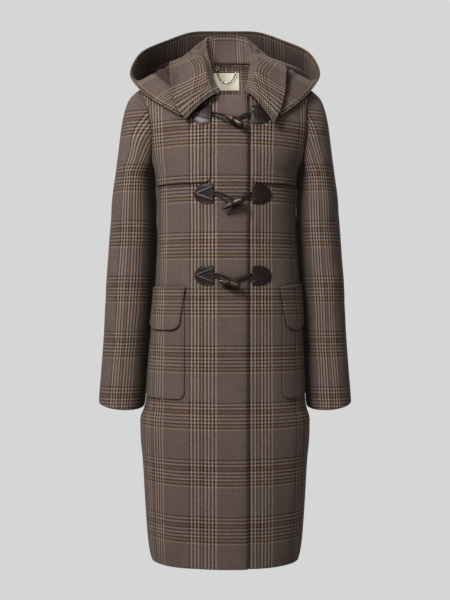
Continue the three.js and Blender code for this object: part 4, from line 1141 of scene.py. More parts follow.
# Hood surface: every rib a smooth curve from the neck into the pouch and up to the rim
def hoodRibs(ribs, side):
    row = {name: curve(ribs) for name, curve in hoodTable.items()}
    neck = neckPoints(row["angle"], side)
    keys = [points3(side * row[k + "x"] + row["shift"], row[k + "y"], row[k + "z"]) for k in "abcr"]
    neck = neck + unit(keys[0] - neck) * hood["neckStep"]
    points = throughPoints([neck, *keys], hood["ribPoints"])
    t = np.linspace(0, 1, hood["ribPoints"])[:, None]
    lifted = np.where(points[..., 1] < 0, lapLiftAt(points[..., 0], side, frontFace), 0)
    further = roomAt(points[..., 1], hood["ridgeReach"])
    gap = lifted + lerp(hood["neckGap"], further, ease(0, 0.06, t))
    forward = ease(3.2, 1.2, ribs)[None, :] * ease(0.05, 0.6, t)
    return keepClear(points, gap, forward)


facing = {"width": 48.0, "rows": 18, "insideRows": 52, "power": 1.4, "gap": 0.8}


# Rows of the hood: closer together at the neck, and the facing's own rows up to the rim
def hoodFractions(total):
    split = 1 - facing["width"] / np.maximum(total, 100)
    inside = split * spaced(facing["insideRows"], 300, (True, False)) ** facing["power"]
    return np.concatenate([inside, lerp(split, 1, spaced(facing["rows"], 48)[1:])])


# Soft folds of the hood: waves down the pouch, stronger towards its floor
def hoodWaves(rib, t, seed):
    swing = np.sin(rib * 2.3 + seed) * 0.8 + np.sin(rib * 5.1 + 2 * seed) * 0.35
    wave = np.sin(2 * np.pi * (t * 3.1 + 0.22 * swing) + seed)
    return wave * np.sin(np.pi * np.clip(t, 0, 1)) ** 1.5


# Lining folds: narrow rolls that run round the pouch, each over part of it, all inwards. Each
# row is the share of a rib's length, the slope, the first and last rib and the height
liningFolds = np.array([
    [0.30, 0.05, 1.0, 2.6, 3.2], [0.42, -0.04, 2.2, 4.4, 3.8], [0.50, 0.03, 0.8, 2.8, 3.0],
    [0.58, -0.03, 2.6, 5.4, 4.2], [0.66, 0.05, 1.2, 3.6, 3.6], [0.74, -0.02, 3.4, 6.4, 3.6],
    [0.80, 0.02, 0.9, 3.0, 3.4], [0.36, 0.02, 4.6, 7.0, 3.4], [0.88, 0.01, 2.0, 5.0, 2.8],
])


# Height of the lining's folds at a rib and a fraction of its length
def liningHeight(rib, t, side):
    total = 0 * t
    for centre, slope, start, end, height in liningFolds:
        line = centre + slope * (rib - start) * (1 if side < 0 else 0.7) + (0.03 if side > 0 else 0)
        across = np.exp(-((t - line) / 0.022) ** 2)
        part = ease(start - 0.5, start + 0.6, rib) * ease(end + 0.5, end - 0.6, rib)
        total = total + height * across * part
    return total


ribLine = np.concatenate([[0, 0.006, 0.018, 0.04], np.linspace(0.1, 7, 78)])
hoodOuter = atFractions(acrossBack(ribLine, hoodRibs), hoodFractions)
hoodOuter = softened(hoodOuter, hood["softRounds"], hood["keepColumns"])
hoodNormals = -gridNormals(hoodOuter)
signedRibs = np.concatenate([ribLine, ribLine[-2::-1]])
sideOfRib = np.concatenate([np.full(len(ribLine), -1), np.full(len(ribLine) - 1, 1)])
rowRun = runLength(hoodOuter, 0)
rowT = rowRun / rowRun[-1:]
splitRow = int(np.argmin(np.abs(np.mean(rowRun[-1:] - rowRun, axis=1) - facing["width"])))
waves = hoodWaves(signedRibs[None, :], rowT, 0.7) * 2.0 * ease(1.0, 2.5, signedRibs)[None, :]
waves = waves * ease(0, 0.12, rowT) * ease(1.0, 0.85, rowT)
bulged = hoodOuter + hoodNormals * np.maximum(waves, -0.6)[..., None]
rimRun = runLength(hoodOuter, 1)[-1]
middleRun = rimRun - rimRun[len(ribLine) - 1]
hoodPlaces = np.stack([np.broadcast_to(middleRun, rowRun.shape), rowRun[-1:] - rowRun], axis=-1)
hoodPlaces = hoodPlaces + np.array([-45.0, 60.0])

hoodPieces = {
    "hood_shell": {
        "wall": coat["wall"], "slot": "wool", "nodes": ["hood_shell"], "flat": (1.016, 0.557),
        "area": 0.224, "held": "folded", "on": ["back", "front_right", "front_left"],
    },
    "hood_lining": {
        "wall": coat["lining"], "slot": "satin", "nodes": ["hood_lining"],
        "flat": (0.988, 0.494), "area": 0.175, "held": "folded", "on": ["hood_shell"],
    },
    "hood_facing": {
        "wall": coat["lining"], "slot": "wool", "nodes": ["hood_facing"],
        "flat": (1.007, 0.049), "area": 0.0453, "held": "folded", "on": ["hood_shell"],
    },
}
clothPiece("hood_shell", bulged, hoodNormals, hoodPlaces, hoodPieces["hood_shell"])

innerSurface = hoodOuter - hoodNormals * (coat["wall"] + facing["gap"])
liningPart = slice(0, splitRow + 1)
lining = innerSurface[liningPart].copy()
lining[-1] = lining[-1] + unit(lining[-2] - lining[-1]) * 0.3
folds = np.where(
    sideOfRib[None, :] < 0, liningHeight(signedRibs[None, :], rowT, -1),
    liningHeight(signedRibs[None, :], rowT, 1),
)[liningPart] * ease(0, 0.08, rowT[liningPart])
endFade = 1 - rowT[liningPart] / rowT[splitRow][None, :]
lining = lining - hoodNormals[liningPart] * (folds * ease(0, 0.06, endFade))[..., None]
liningNormals = -gridNormals(lining)
clothPiece(
    "hood_lining", lining, liningNormals, hoodPlaces[liningPart], hoodPieces["hood_lining"],
    material="satin",
)
facingPart = slice(splitRow, None)
clothPiece(
    "hood_facing", innerSurface[facingPart], hoodNormals[facingPart], hoodPlaces[facingPart],
    hoodPieces["hood_facing"], material="woolInHood",
)
print("hood made")


# The left point hangs lower than the right one, and the fall clears the hood's layers
collarForm = {
    "pointDrop": 4, "overHood": 11.6, "ridgeReach": 80, "standUp": 2.9, "standIn": 1.45,
    "foldRadius": 2.2, "bulge": 0.07, "placeX": 13, "placeY": 78, "seamRow": 40, "fallRow": 26,
    "softRounds": 7, "keepColumns": 8,
}


# Points of a table's curves at angles round the neck
def rowPoint(rows, angles, side):
    x = side * rows["halfWidth"](angles) + rows["shift"](angles)
    return points3(x, rows["y"](angles), rows["z"](angles))


# Collar surface: the stand up from the neck, a half-round fold and the fall down outside it
def collarRibs(angles, side):
    fold = rowPoint(collarFold, angles, side)
    forward = ease(112, 60, angles)
    edge = rowPoint(collarEdge, angles, side)
    edge[..., 2] -= side * collarForm["pointDrop"] * np.clip((34 - angles) / 13, 0, 1)
    reach = collarForm["ridgeReach"]
    edge = keepClear(edge, roomAt(edge[..., 1], reach) + collarForm["overHood"], forward)
    neck = neckPoints(angles, side)
    up = unit(fold - neck)
    outward = edge - fold
    outward = unit(outward - up * np.sum(outward * up, axis=-1, keepdims=True))
    base = neck + up * collarForm["standUp"] - outward * collarForm["standIn"]
    radius = collarForm["foldRadius"]
    standTop = fold - up * radius
    rows = [lerp(base, standTop, t) for t in np.linspace(0, 1, 16)]
    centre = standTop + outward * radius
    for turn in np.radians(np.linspace(20, 160, 8)):
        rows.append(centre - outward * radius * np.cos(turn) + up * radius * np.sin(turn))
    fallTop = centre + outward * radius
    bulge = np.linalg.norm(edge - fallTop, axis=-1, keepdims=True) * collarForm["bulge"]
    for t in spaced(40, 90, (False, True)):
        p = lerp(fallTop, edge, t) + up * bulge * math.sin(math.pi * t)
        gap = (roomAt(p[..., 1], reach) + collarForm["overHood"]) * ease(0, 0.2, t)
        rows.append(keepClear(p, gap, forward))
    return np.stack(rows)


collarAngles = np.concatenate([[21, 21.15, 21.4, 21.9], np.linspace(23, 180, 88)])
collarMiddle = acrossBack(collarAngles, collarRibs)
collarMiddle = softened(collarMiddle, collarForm["softRounds"], collarForm["keepColumns"])
collarNormals = gridNormals(collarMiddle)
collarRun = runLength(collarMiddle, 0)
collarT = collarRun / collarRun[-1:]
collarWave = 0.9 * np.sin(np.linspace(0, 22, collarMiddle.shape[1]))[None, :]
collarWave = np.maximum(collarWave * ease(0.55, 1.0, collarT), -0.3)
collarOuter = collarMiddle + collarNormals * (coat["wall"] / 2 + collarWave)[..., None]
seamRun = runLength(collarMiddle, 1)[collarForm["seamRow"]]
seamRun = seamRun - seamRun[len(collarAngles) - 1]
collarPlaces = np.stack([
    np.broadcast_to(seamRun, collarRun.shape) + collarForm["placeX"],
    collarRun + collarForm["placeY"],
], axis=-1)
collar = {
    "wall": coat["wall"], "slot": "wool", "nodes": ["collar"], "flat": (0.802, 0.166), "area": 0.0702,
    "held": "folded", "on": ["front_right", "front_left", "back"],
}
clothPiece("collar", collarOuter, collarNormals, collarPlaces, collar, material="woolOnCollar")
print("collar made")


# Line on a grid at a distance from one of its borders, with the normals there
def lineAt(points, normals, axis, distance, fromEnd=False):
    if axis == 1:
        points, normals = points.swapaxes(0, 1), normals.swapaxes(0, 1)
    run = runLength(points, 0)
    line, lineNormals = [], []
    for c in range(points.shape[1]):
        at = run[-1, c] - distance if fromEnd else distance
        line.append([np.interp(at, run[:, c], points[:, c, k]) for k in range(3)])
        lineNormals.append([np.interp(at, run[:, c], normals[:, c, k]) for k in range(3)])
    return np.array(line), np.array(lineNormals)


# A line cut short at both ends by lengths
def trimmed(line, start, end):
    points, normals = line
    run = np.concatenate([[0], np.cumsum(np.linalg.norm(np.diff(points, axis=0), axis=1))])
    keep = (run >= start) & (run <= run[-1] - end)
    return points[keep], normals[keep]


seamLines = []
w, s = np.meshgrid(frontRows, frontColumns, indexing="ij")
right = frontSurface(rightSide, lap["edgeX"], s, w)
seamLines.append(trimmed(lineAt(right[0], right[1], 1, 8), 3, 3))
seamLines.append(trimmed(lineAt(collarOuter, collarNormals, 0, 6, True), 6, 6))
fallPart = slice(collarForm["fallRow"], None)
for fromEnd in (False, True):
    line = lineAt(collarOuter[fallPart], collarNormals[fallPart], 1, 6, fromEnd)
    seamLines.append(trimmed(line, 0, 6))


# How far a pocket's or flap's edge is drawn in at a height by its round lower corner
def cornerInset(z, bottomZ, corner):
    d = np.clip(z - bottomZ, 0, corner)
    return corner - np.sqrt(np.maximum(corner ** 2 - (corner - d) ** 2, 0))


# Heights from the top to the bottom, closer together round the lower corners
def cornerRows(topZ, bottomZ, corner, count):
    upper = lerp(topZ, bottomZ + corner, spaced(count, abs(topZ - bottomZ), (True, False)))
    lower = bottomZ + corner * (1 - np.sin(np.linspace(0, math.pi / 2, 14)))
    lower[-1] = bottomZ + 0.02
    return np.concatenate([upper[:-1], lower])


pocketEndAngle = 79.0  # degrees round the body, behind the sleeve
laid = {
    "pocket_right": {
        "side": rightSide, "topZ": -486.0, "bottomZ": -708.0, "innerTop": 83.0, "innerBottom": 83.0,
        "topOuter": 0.0, "corner": 14.0, "lift": 0.3, "rows": 46, "flat": (0.130, 0.252),
        "area": 0.0269, "on": ["front_right"], "sag": 0.6,
    },
    "pocket_left": {
        "side": leftSide, "topZ": -486.0, "bottomZ": -708.0, "innerTop": 118.5, "innerBottom": 118.5,
        "topOuter": 0.0, "corner": 14.0, "lift": 0.3, "rows": 46, "flat": (0.093, 0.251),
        "area": 0.0192, "on": ["front_left"], "sag": 0.6,
    },
    "flap_right": {
        "side": rightSide, "topZ": -476.0, "bottomZ": -566.0, "innerTop": 80.0, "innerBottom": 93.0,
        "topOuter": 0.0, "corner": 16.0, "lift": 3.1, "rows": 26, "flat": (0.118, 0.123),
        "area": 0.0100, "on": ["pocket_right", "front_right"], "sag": 2.2,
    },
    "flap_left": {
        "side": leftSide, "topZ": -476.0, "bottomZ": -566.0, "innerTop": 112.0, "innerBottom": 126.0,
        "topOuter": 6.0, "corner": 16.0, "lift": 3.1, "rows": 26, "flat": (0.094, 0.129),
        "area": 0.0078, "on": ["pocket_left", "front_left"], "sag": 2.2,
    },
}
for name, spec in laid.items():
    side = spec["side"]
    zRow = cornerRows(spec["topZ"], spec["bottomZ"], spec["corner"], spec["rows"])
    down = (spec["topZ"] - zRow) / (spec["topZ"] - spec["bottomZ"])
    inset = cornerInset(zRow, spec["bottomZ"], spec["corner"])
    q = spaced(30, 80)
    inner = lerp(spec["innerTop"], spec["innerBottom"], down) + inset
    outer = np.abs(bodyPoint(pocketEndAngle, zRow, side, frontFace)[:, 0]) - inset
    x = side * lerp(inner[:, None], outer[:, None], q[None, :])
    z = zRow[:, None] + spec["topOuter"] * q[None, :] * (1 - down[:, None])
    edgeNear = np.minimum(np.abs(x - side * inner[:, None]), 40) / 40
    sag = spec["sag"] * ease(0.2, 1.0, down)[:, None] * (1 - 0.6 * edgeNear)
    points, normals = onPanel(x, z, side, frontFace, spec["lift"] + coat["wall"] + sag)
    places = clothPlace(x, z, frontFace)
    spec.update(wall=coat["wall"], slot="wool", nodes=[name], held="laid")
    clothPiece(name, points, normals, places, spec)
    seamLines.append(trimmed(lineAt(points, normals, 1, 5), 4 if "pocket" in name else 2, 6))
    seamLines.append(trimmed(lineAt(points, normals, 1, 5, True), 4, 6))
    seamLines.append(trimmed(lineAt(points, normals, 0, 5, True), 2, 2))
    if "flap" in name:
        seamLines.append(trimmed(lineAt(points, normals, 0, 5), 4, 4))
print("pockets and flaps made")

yokes = {
    "right": {
        "side": rightSide, "closureX": lap["edgeX"], "innerX": -28.7, "flat": (0.221, 0.296),
        "area": 0.0374, "on": ["front_right"],
    },
    "left": {
        "side": leftSide, "closureX": lap["underEdgeX"], "innerX": 53.5, "flat": (0.214, 0.298),
        "area": 0.0332, "on": ["front_left"],
    },
}


yokeCut = {
    "bottomZ": -264.5, "corner": 15, "armholeLowZ": -215, "fromArmhole": 3.4, "lift": 3.5,
    "fineColumns": 400,
}


# Yoke surface: the front's own rows, each cut between the inner edge and the armhole's line
def yokeSurface(spec, rows, columns):
    side = spec["side"]
    fine = np.linspace(0, 1, yokeCut["fineColumns"])
    w, s = np.meshgrid(rows, fine, indexing="ij")
    x, z = frontPlace(side, spec["closureX"], s, w)
    y = onPanel(x, z, side, frontFace)[0][..., 1]
    level = (np.maximum(z, yokeCut["armholeLowZ"]) - armhole["z"]) / armhole["halfHeight"]
    oval = np.sqrt(np.maximum(1 - level ** 2, 0))
    seamY = -armhole["halfDepth"] * oval - yokeCut["fromArmhole"]
    cutX = np.zeros((len(rows), len(columns)))
    cutZ = np.zeros((len(rows), len(columns)))
    corner = yokeCut["corner"]
    for r in range(len(rows)):
        outer = np.interp(0.0, np.maximum.accumulate(y[r] - seamY[r]), fine)
        above = min(max(z[r, 0] - yokeCut["bottomZ"], 0.02), corner)
        inset = corner - math.sqrt(max(corner ** 2 - (corner - above) ** 2, 0))
        edgeX = spec["innerX"] * side + inset
        inner = np.interp(edgeX, np.maximum.accumulate(side * x[r]), fine)
        at = lerp(inner, outer, columns)
        cutX[r] = np.interp(at, fine, x[r])
        cutZ[r] = np.interp(at, fine, z[r])
    return cutX, cutZ


belowArmpit = (coat["armpitZ"] - yokeCut["bottomZ"]) / skirtLength
lowRows = np.array([0.2, 0.35, 0.5, 0.65, 0.78, 0.88, 0.95, 0.985, 0.999])
yokeRows = np.concatenate([np.linspace(0.13, 1, 44), 1 + belowArmpit * lowRows])
for word, spec in yokes.items():
    x, z = yokeSurface(spec, yokeRows, spaced(40, 110))
    points, normals = onPanel(x, z, spec["side"], frontFace, np.full(x.shape, yokeCut["lift"]))
    points[..., 1] -= coat["seamGap"] / 2
    spec.update(wall=coat["wall"], slot="wool", nodes=["yoke_" + word], held="laid")
    clothPiece("yoke_" + word, points, normals, clothPlace(x, z, frontFace), spec)
    seamLines.append(trimmed(lineAt(points, normals, 1, 5), 20, 6))
    seamLines.append(trimmed(lineAt(points, normals, 0, 5, True), 4, 6))
print("yokes made")

rimLine = lineAt(innerSurface[facingPart], -hoodNormals[facingPart], 0, 5, True)
innerLine = lineAt(innerSurface[facingPart], -hoodNormals[facingPart], 0, 4)
for line, normals in (rimLine, innerLine):
    seamLines.append(trimmed((line + normals * coat["lining"], normals), 6, 6))
place(stitches("topstitching", seamLines), "wool")

# Inside the back neck: facing and label, laid inwards on the back's own points
neckFacing = {
    "wall": coat["lining"], "slot": "wool", "nodes": ["neck_facing"], "flat": (0.287, 0.095),
    "area": 0.0122, "held": "laid", "on": ["back"], "halfWidth": 67.3, "used": 0.985,
    "topDrop": 0.5, "sideZ": -6, "depth": 68, "leastDepth": 3,
}
q, t = np.meshgrid(spaced(48, 160) * 2 - 1, spaced(22, 70), indexing="ij")
q, t = q.T, t.T
turn = np.radians(90 * q)
x = neckFacing["halfWidth"] * np.sin(turn) * neckFacing["used"]
topZ = shoulderArch(x, backFace)[2] - neckFacing["topDrop"]
lowEdge = neckFacing["sideZ"] - neckFacing["depth"] * np.cos(turn)
z = lerp(topZ, np.minimum(lowEdge, topZ - neckFacing["leastDepth"]), t)
points, normals = onPanel(x, z, leftSide, backFace, -(coat["wall"] + coat["layGap"]))
clothPiece("neck_facing", points, normals, clothPlace(x, z, backFace) + 60, neckFacing)

label = {
    "wall": 0.8, "slot": "label", "nodes": ["label"], "flat": (0.058, 0.040), "area": 0.0022,
    "held": "laid", "on": ["neck_facing"], "x": (-26, 33), "z": (1, -36),
}
x, z = np.meshgrid(lerp(*label["x"], spaced(30, 59)), lerp(*label["z"], spaced(20, 37)))
underLabel = coat["wall"] + 2 * coat["layGap"] + coat["lining"]
points, normals = onPanel(x, z, leftSide, backFace, -underLabel)
places = np.stack([x, -z], axis=-1)
clothPiece("label", points, normals, places, label, material="label")
inward = points - normals * label["wall"]
labelLines = [
    trimmed(lineAt(inward, -normals, axis, 2, fromEnd), 2, 2)
    for axis in (0, 1) for fromEnd in (False, True)
]
place(stitches("label_stitching", labelLines, 2.6, 1.8, 0.25, "label"), "label")
print("neck inside made")


# Rings of one closed tube each: an oval centre line in a plane with a round section
def ovals(name, rings, material, around=22, sides=10):
    allPoints, allFaces = [], []
    turn = np.linspace(0, 2 * math.pi, around, endpoint=False)[:, None, None]
    roll = np.linspace(0, 2 * math.pi, sides, endpoint=False)[None, :, None]
    for centre, long, short, radius in rings:
        u, v = unit(long), unit(short)
        n = np.cross(u, v)
        line = centre + long * np.cos(turn) + short * np.sin(turn)
        out = unit(u * np.cos(turn) + v * np.sin(turn))
        points = line + (out * np.cos(roll) + n * np.sin(roll)) * radius
        index = np.arange(around * sides).reshape(around, sides)
        index = np.pad(index, ((0, 1), (0, 1)), mode="wrap")
        allFaces.append(quads(index) + len(allPoints) * around * sides)
        allPoints.append(points.reshape(-1, 3))
    points, faces = np.concatenate(allPoints), np.concatenate(allFaces)
    if signedVolume(points, faces) < 0:
        faces = faces[:, ::-1]
    return makeObject(name, points, faces, material)


# Point inside the back neck at a depth from the back's outer surface
def insideBack(x, z, depth):
    return onPanel(np.asarray(x, float), np.asarray(z, float), leftSide, backFace, -depth)[0]


chain = {"depth": 8.8, "pitch": 3.3, "long": 2.35, "short": 1.45, "wire": 0.48}
chainX = np.array([-21, -14, -8, 2, 12, 20, 27], float)
chainZ = np.array([8, -6, -15, -20, -17, -9, 4], float)
chainLine = throughPoints(list(insideBack(chainX, chainZ, chain["depth"])), 121)
centres, directions = evenly(chainLine, chain["pitch"], np.gradient(chainLine, axis=0))
links = []
for i, (centre, along) in enumerate(zip(centres, unit(directions))):
    side = unit(np.cross(along, np.array([0.0, 1.0, 0.0])))
    other = np.cross(along, side)
    across = side if i % 2 else other
    across = unit(across + 0.25 * (other if i % 2 else side))
    links.append((centre, along * chain["long"], across * chain["short"], chain["wire"]))
place(ovals("hanger_chain_links", links, "steel"), "steel", "hanger_chain")
ring = {"x": -22, "z": 10, "behind": 8, "above": 8.0, "radius": 3.7, "wire": 1.0, "tilt": 80}
ringCentre = insideBack(ring["x"], ring["z"], chain["depth"] + ring["behind"])
ringCentre = ringCentre + np.array([0, 0, ring["above"]])
tilt = math.radians(ring["tilt"])
ringLong = np.array([ring["radius"], 0, 0])
ringShort = ring["radius"] * np.array([0, math.cos(tilt), math.sin(tilt)])
bent = [(ringCentre, ringLong, ringShort, ring["wire"])]
place(ovals("hanger_ring_bent", bent, "steel", 40, 14), "steel", "hanger_ring")


# Tube along a line: a round section whose radius may change along it and round it
def tube(line, radii, sides=16):
    directions = unit(np.gradient(line, axis=0))
    side = unit(np.cross(directions[0], np.array([0.31, 0.2, 0.93])))
    ringSides = []
    for direction in directions:
        side = unit(side - direction * (side @ direction))
        ringSides.append(side)
    side = np.array(ringSides)[:, None, :]
    other = np.cross(directions, side[:, 0])[:, None, :]
    roll = np.linspace(0, 2 * math.pi, sides, endpoint=False)[None, :, None]
    points = line[:, None, :] + (side * np.cos(roll) + other * np.sin(roll)) * radii[..., None]
    rows = len(line)
    index = np.pad(np.arange(rows * sides).reshape(rows, sides), ((0, 0), (0, 1)), mode="wrap")
    return points.reshape(-1, 3), quads(index)


# One object from several tubes
def tubes(name, parts, material):
    allPoints, allFaces, start = [], [], 0
    for points, faces in parts:
        if signedVolume(points, faces) < 0:
            faces = faces[:, ::-1]
        allFaces.append(faces + start)
        allPoints.append(points)
        start += len(points)
    return makeObject(name, np.concatenate(allPoints), np.concatenate(allFaces), material)


# Twisted cord: three strands, as a wave of the radius that turns along the length
def cordRadii(line, radius, sides=16, strands=3, twist=7.0):
    run = np.concatenate([[0], np.cumsum(np.linalg.norm(np.diff(line, axis=0), axis=1))])[:, None]
    roll = np.linspace(0, 2 * math.pi, sides, endpoint=False)[None, :]
    radii = radius * (1 + 0.11 * np.cos(strands * (roll - 2 * math.pi * run / twist)))
    ends = np.minimum(run, run[-1] - run)
    return radii * np.maximum(np.sqrt(np.clip(1 - (1 - np.clip(ends / 1.2, 0, 1)) ** 2, 0, 1)), 0.02)


# Point over the front at a height above its cloth
def frontPoint(x, z, height, side=rightSide):
    x, z, height = (np.asarray(float(value)) for value in (x, z, height))
    return onPanel(x, z, side, frontFace, height)[0]


# Each fastening: the middles of its two patches, the ends of its toggle as front-view places,
# and how far the toggle is sunk towards the coat
fastenings = {
    1: {
        "rightX": -50, "leftX": 74, "z": -125, "thick": (35, -153), "narrow": (-2, -133),
        "sunk": 0.0, "yoke": True,
    },
    2: {
        "rightX": -43, "leftX": 75.5, "z": -287, "thick": (33, -300), "narrow": (-3, -318),
        "sunk": 0.6, "yoke": False,
    },
    3: {
        "rightX": -42.5, "leftX": 75.5, "z": -454, "thick": (34, -477), "narrow": (-18, -464),
        "sunk": 0.4, "yoke": False,
    },
}
patch = {
    "size": 20, "thick": 2.0, "ridge": 0.55, "ridgeWidth": 0.08, "ridgeFrom": (-0.86, 0.0),
    "ridgeTo": (0.95, 0.7), "groove": 0.35, "grooveAt": 0.87, "grooveWidth": 0.03,
}
patchShape = np.array([
    [1, 0.86], [0.97, 0.96], [0.88, 1], [0.35, 1], [-0.2, 0.94], [-0.62, 0.72], [-0.9, 0.4], [-1, 0],
    [-0.9, -0.4], [-0.62, -0.72], [-0.2, -0.94], [0.35, -1], [0.88, -1], [0.97, -0.96], [1, -0.86],
])
# Toggle: heights over the cloth at its ends, its bend, and how much its section wavers
toggle = {
    "length": 46.2, "thickHeight": 16.8, "narrowHeight": 12.2, "bend": 0.9, "waver": (0.025, 0.012),
    "sides": 28,
}
toggleRadius = smoothCurve(
    [0, 0.6, 4, 14, 20, 24, 28, 36, 42, 45.4, 46.2],
    [0.05, 2.1, 3.5, 5.1, 5.6, 5.5, 6.2, 6.8, 6.4, 4.3, 0.05],
)
# Cords: levels over the cloth, where they leave the patches, and the turns round the toggle
cords = {
    "radius": 1.5, "loopLevel": 1.8, "cordAbove": 3.3, "overYoke": 2.8, "fromPatch": 20.9,
    "wrapRadius": 1.25, "wrapReach": 6.7, "wrapTurns": 2.1, "wrapPitch": 2.6, "wrapBack": 2.7,
    "wrapAt": 0.6,
}


# D-shaped outline with even points: the corners of the shape, softened by a running mean
def patchOutline():
    closed = np.concatenate([patchShape, patchShape[:1]])
    run = np.concatenate([[0], np.cumsum(np.linalg.norm(np.diff(closed, axis=0), axis=1))])
    at = np.linspace(0, run[-1], 96, endpoint=False)
    line = np.stack([np.interp(at, run, closed[:, k]) for k in range(2)], 1)
    for _ in range(2):
        line = (np.roll(line, 1, 0) + 2 * line + np.roll(line, -1, 0)) / 4
    return line


# Bell of the distance to a line across the patch: the cord's strands raise the leather
def ridgeOver(u, v, start, end, width):
    along = np.array(end) - np.array(start)
    t = np.clip(((u - start[0]) * along[0] + (v - start[1]) * along[1]) / (along @ along), 0, 1)
    du, dv = u - (start[0] + t * along[0]), v - (start[1] + t * along[1])
    return np.exp(-(du * du + dv * dv) / width ** 2)


# Loop of cord from a patch to a turn and back: two strands side by side, joined at the turn
def bight(spec, fromX, fromSide, turn, level, spread, wide):
    turnX, turnZ = turn
    away = math.copysign(1, turnX - fromX)
    startLevel = cords["loopLevel"] + (cords["overYoke"] if spec["yoke"] else 0)
    strands = []
    for sign in (1, -1):
        z = spec["z"] + sign * spread
        strands.append([
            frontPoint(fromX - away * 2, z, startLevel, fromSide),
            frontPoint(fromX, z, startLevel, fromSide),
            frontPoint(fromX + away * 6.2, z, min(level, cords["loopLevel"] + 0.4)),
            frontPoint(turnX - away * 13, lerp(spec["z"], turnZ, 0.7) + sign * wide, level),
            frontPoint(turnX - away * 4, turnZ + sign * wide * 0.9, level),
        ])
    first, second = strands
    return throughPoints([*first, frontPoint(turnX, turnZ, level), *second[::-1]], 150)


# Leather patch on one side of the closure: a domed D with a ridge over each strand and a
# stitched groove. Gives the line of the groove
def leatherPatch(number, spec, word, side, centreX, toClosure):
    rings = np.concatenate([[0.002], np.linspace(0.04, 0.9, 26), [0.93, 0.96, 0.98, 0.992, 1]])
    u = rings[:, None] * outline[None, :, 0]
    v = rings[:, None] * outline[None, :, 1]
    endU, endV = patch["ridgeTo"]
    raised = np.maximum(*[
        ridgeOver(u, v, patch["ridgeFrom"], (endU, sign * endV), patch["ridgeWidth"])
        for sign in (1, -1)
    ])
    groove = np.exp(-((rings[:, None] - patch["grooveAt"]) / patch["grooveWidth"]) ** 2)
    x, z = centreX + toClosure * u * patch["size"], spec["z"] + v * patch["size"]
    base = coat["layGap"] + (coat["wall"] + coat["layGap"] if spec["yoke"] else 0)
    lift = base + patch["thick"] + patch["ridge"] * raised * ease(1.0, 0.9, rings)[:, None]
    points, normals = onPanel(x, z, side, frontFace, lift - patch["groove"] * groove)
    points[..., 1] -= coat["seamGap"] / 2
    places = np.stack([x, z], -1)
    places = np.concatenate([places, places[:, :1]], axis=1)
    made = shell(
        f"patch_{word}_{number}_leather", points, normals, patch["thick"], places, "leather",
        loop=True, centre=True,
    )
    place(made, "leather", f"patch_{word}_{number}")
    row = int(np.argmin(np.abs(rings - patch["grooveAt"])))
    return points[row], normals[row]


outline = patchOutline()
for number, spec in fastenings.items():
    leatherLines = [
        leatherPatch(number, spec, "right", rightSide, spec["rightX"], 1),
        leatherPatch(number, spec, "left", leftSide, spec["leftX"], -1),
    ]
    place(stitches(f"patch_stitching_{number}", leatherLines, 3.2, 2.2, 0.36, "cord"), "leather")

    thick = frontPoint(*spec["thick"], toggle["thickHeight"] - spec["sunk"])
    narrow = frontPoint(*spec["narrow"], toggle["narrowHeight"] - spec["sunk"])
    middle = (thick + narrow) / 2
    along = unit(thick - narrow)
    t = np.concatenate([
        [0, 0.1, 0.3, 0.6, 1.2, 2], np.linspace(3, 44, 56), [44.8, 45.4, 45.8, 46.1, 46.2],
    ])
    bend = np.array([0.0, 0.0, 1.0]) - along * along[2]
    half = toggle["length"] / 2
    sag = (1 - ((t - half) / half) ** 2) * toggle["bend"]
    line = middle + along * (t - half)[:, None] + unit(bend) * sag[:, None]
    roll = np.linspace(0, 2 * math.pi, toggle["sides"], endpoint=False)[None, :]
    slow, fast = toggle["waver"]
    waver = 1 + slow * np.sin(2 * roll + number) + fast * np.sin(5 * roll + t[:, None] / 6)
    radii = toggleRadius(t)[:, None] * waver
    made = tubes(f"toggle_{number}_horn", [tube(line, radii, toggle["sides"])], "horn")
    place(made, "horn", f"toggle_{number}")

    middleX = (spec["narrow"][0] + spec["thick"][0]) / 2
    middleZ = (spec["narrow"][1] + spec["thick"][1]) / 2
    level = cords["loopLevel"]
    startX = spec["rightX"] + cords["fromPatch"]
    loop = bight(spec, startX, rightSide, (middleX + 9, middleZ), level, 3.0, 7.5)
    level = level + cords["cordAbove"]
    startX = spec["leftX"] - cords["fromPatch"]
    cord = bight(spec, startX, leftSide, (middleX - 5, middleZ), level, 2.0, 2.2)
    made = tubes(f"loop_{number}_cord", [tube(loop, cordRadii(loop, cords["radius"]))], "cord")
    place(made, "cord", f"loop_{number}")
    turns = np.linspace(0, 2 * math.pi * cords["wrapTurns"], 110)
    sideways = unit(np.cross(along, np.array([0.0, 1.0, 0.0])))
    other = np.cross(along, sideways)
    wrapAt = middle + along * cords["wrapAt"] + unit(bend) * toggle["bend"]
    forward = turns / (2 * math.pi) * cords["wrapPitch"] - cords["wrapBack"]
    outward = sideways * np.cos(turns)[:, None] + other * np.sin(turns)[:, None]
    wrap = wrapAt + along * forward[:, None] + outward * cords["wrapReach"]
    parts = [
        tube(cord, cordRadii(cord, cords["radius"])),
        tube(wrap, cordRadii(wrap, cords["wrapRadius"])),
    ]
    place(tubes(f"cord_{number}_cord", parts, "cord"), "cord", f"cord_{number}")
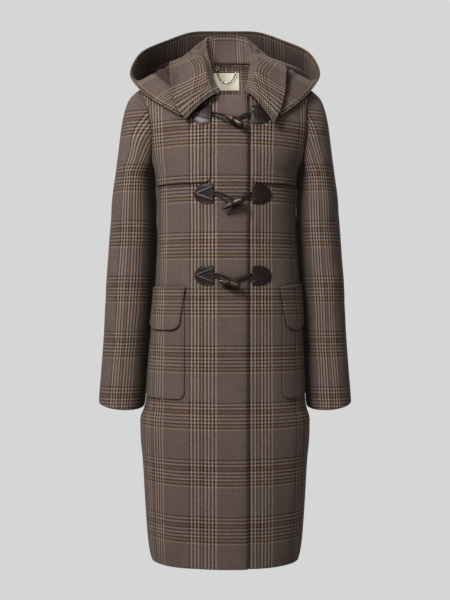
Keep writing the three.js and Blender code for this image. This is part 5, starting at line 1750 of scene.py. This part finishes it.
print("fastenings made")


# Puts a light at a spot and turns it to look at a point
def aimLight(name, data, spot, target):
    light = bpy.data.objects.new(name, data)
    light.location = spot
    direction = unit(np.array(target) - np.array(spot))
    yaw = math.atan2(direction[1], direction[0]) - math.pi / 2
    light.rotation_euler = (math.pi / 2 + math.asin(direction[2]), 0.0, yaw)
    bpy.context.scene.collection.objects.link(light)


# Round area light that looks at a point of the coat
def addLight(name, spot, target, size, power):
    data = bpy.data.lights.new(name, "AREA")
    data.shape = "DISK"
    data.size = size
    data.energy = power
    aimLight(name, data, spot, target)


addLight("key_left", (-1.5, -2.15, 1.55), (0, 0, -0.3), 0.9, 96.0)
addLight("fill_front", (0.05, -3.2, 0.4), (0, 0, -0.1), 0.8, 15.0)
addLight("soft_back", (0.9, 2.9, 1.1), (0, 0, -0.4), 1.6, 34.0)

neckLight = {
    "spot": (0.03, -1.9, 0.16), "target": (0.003, 0.06, -0.012), "degrees": 4, "power": 75.0,
    "blend": 0.6, "size": 0.05,
}


# Narrow light from the front into the open neck
def addNeckLight():
    data = bpy.data.lights.new("neck_front", "SPOT")
    data.spot_size = math.radians(neckLight["degrees"])
    data.spot_blend = neckLight["blend"]
    data.shadow_soft_size = neckLight["size"]
    data.energy = neckLight["power"]
    aimLight("neck_front", data, neckLight["spot"], neckLight["target"])


addNeckLight()

backdrop = {"colour": "#d6d6d6", "seen": 1.0, "lit": 0.2}


# Even light grey behind, a weaker grey as the light from all round
def addWorld():
    world = bpy.data.worlds.new("world")
    bpy.context.scene.world = world
    world.use_nodes = True
    tree = world.node_tree
    tree.nodes.clear()
    seen, lit = (
        addNode(tree, "Background", {"Color": linear(backdrop["colour"]), "Strength": backdrop[key]})
        for key in ("seen", "lit")
    )
    path = addNode(tree, "LightPath")
    mixed = addNode(tree, "MixShader", {0: path.outputs["Is Camera Ray"], 1: lit, 2: seen})
    addNode(tree, "OutputWorld", {0: mixed})


addWorld()
bpy.context.scene.view_settings.view_transform = "Standard"
print("lights made")
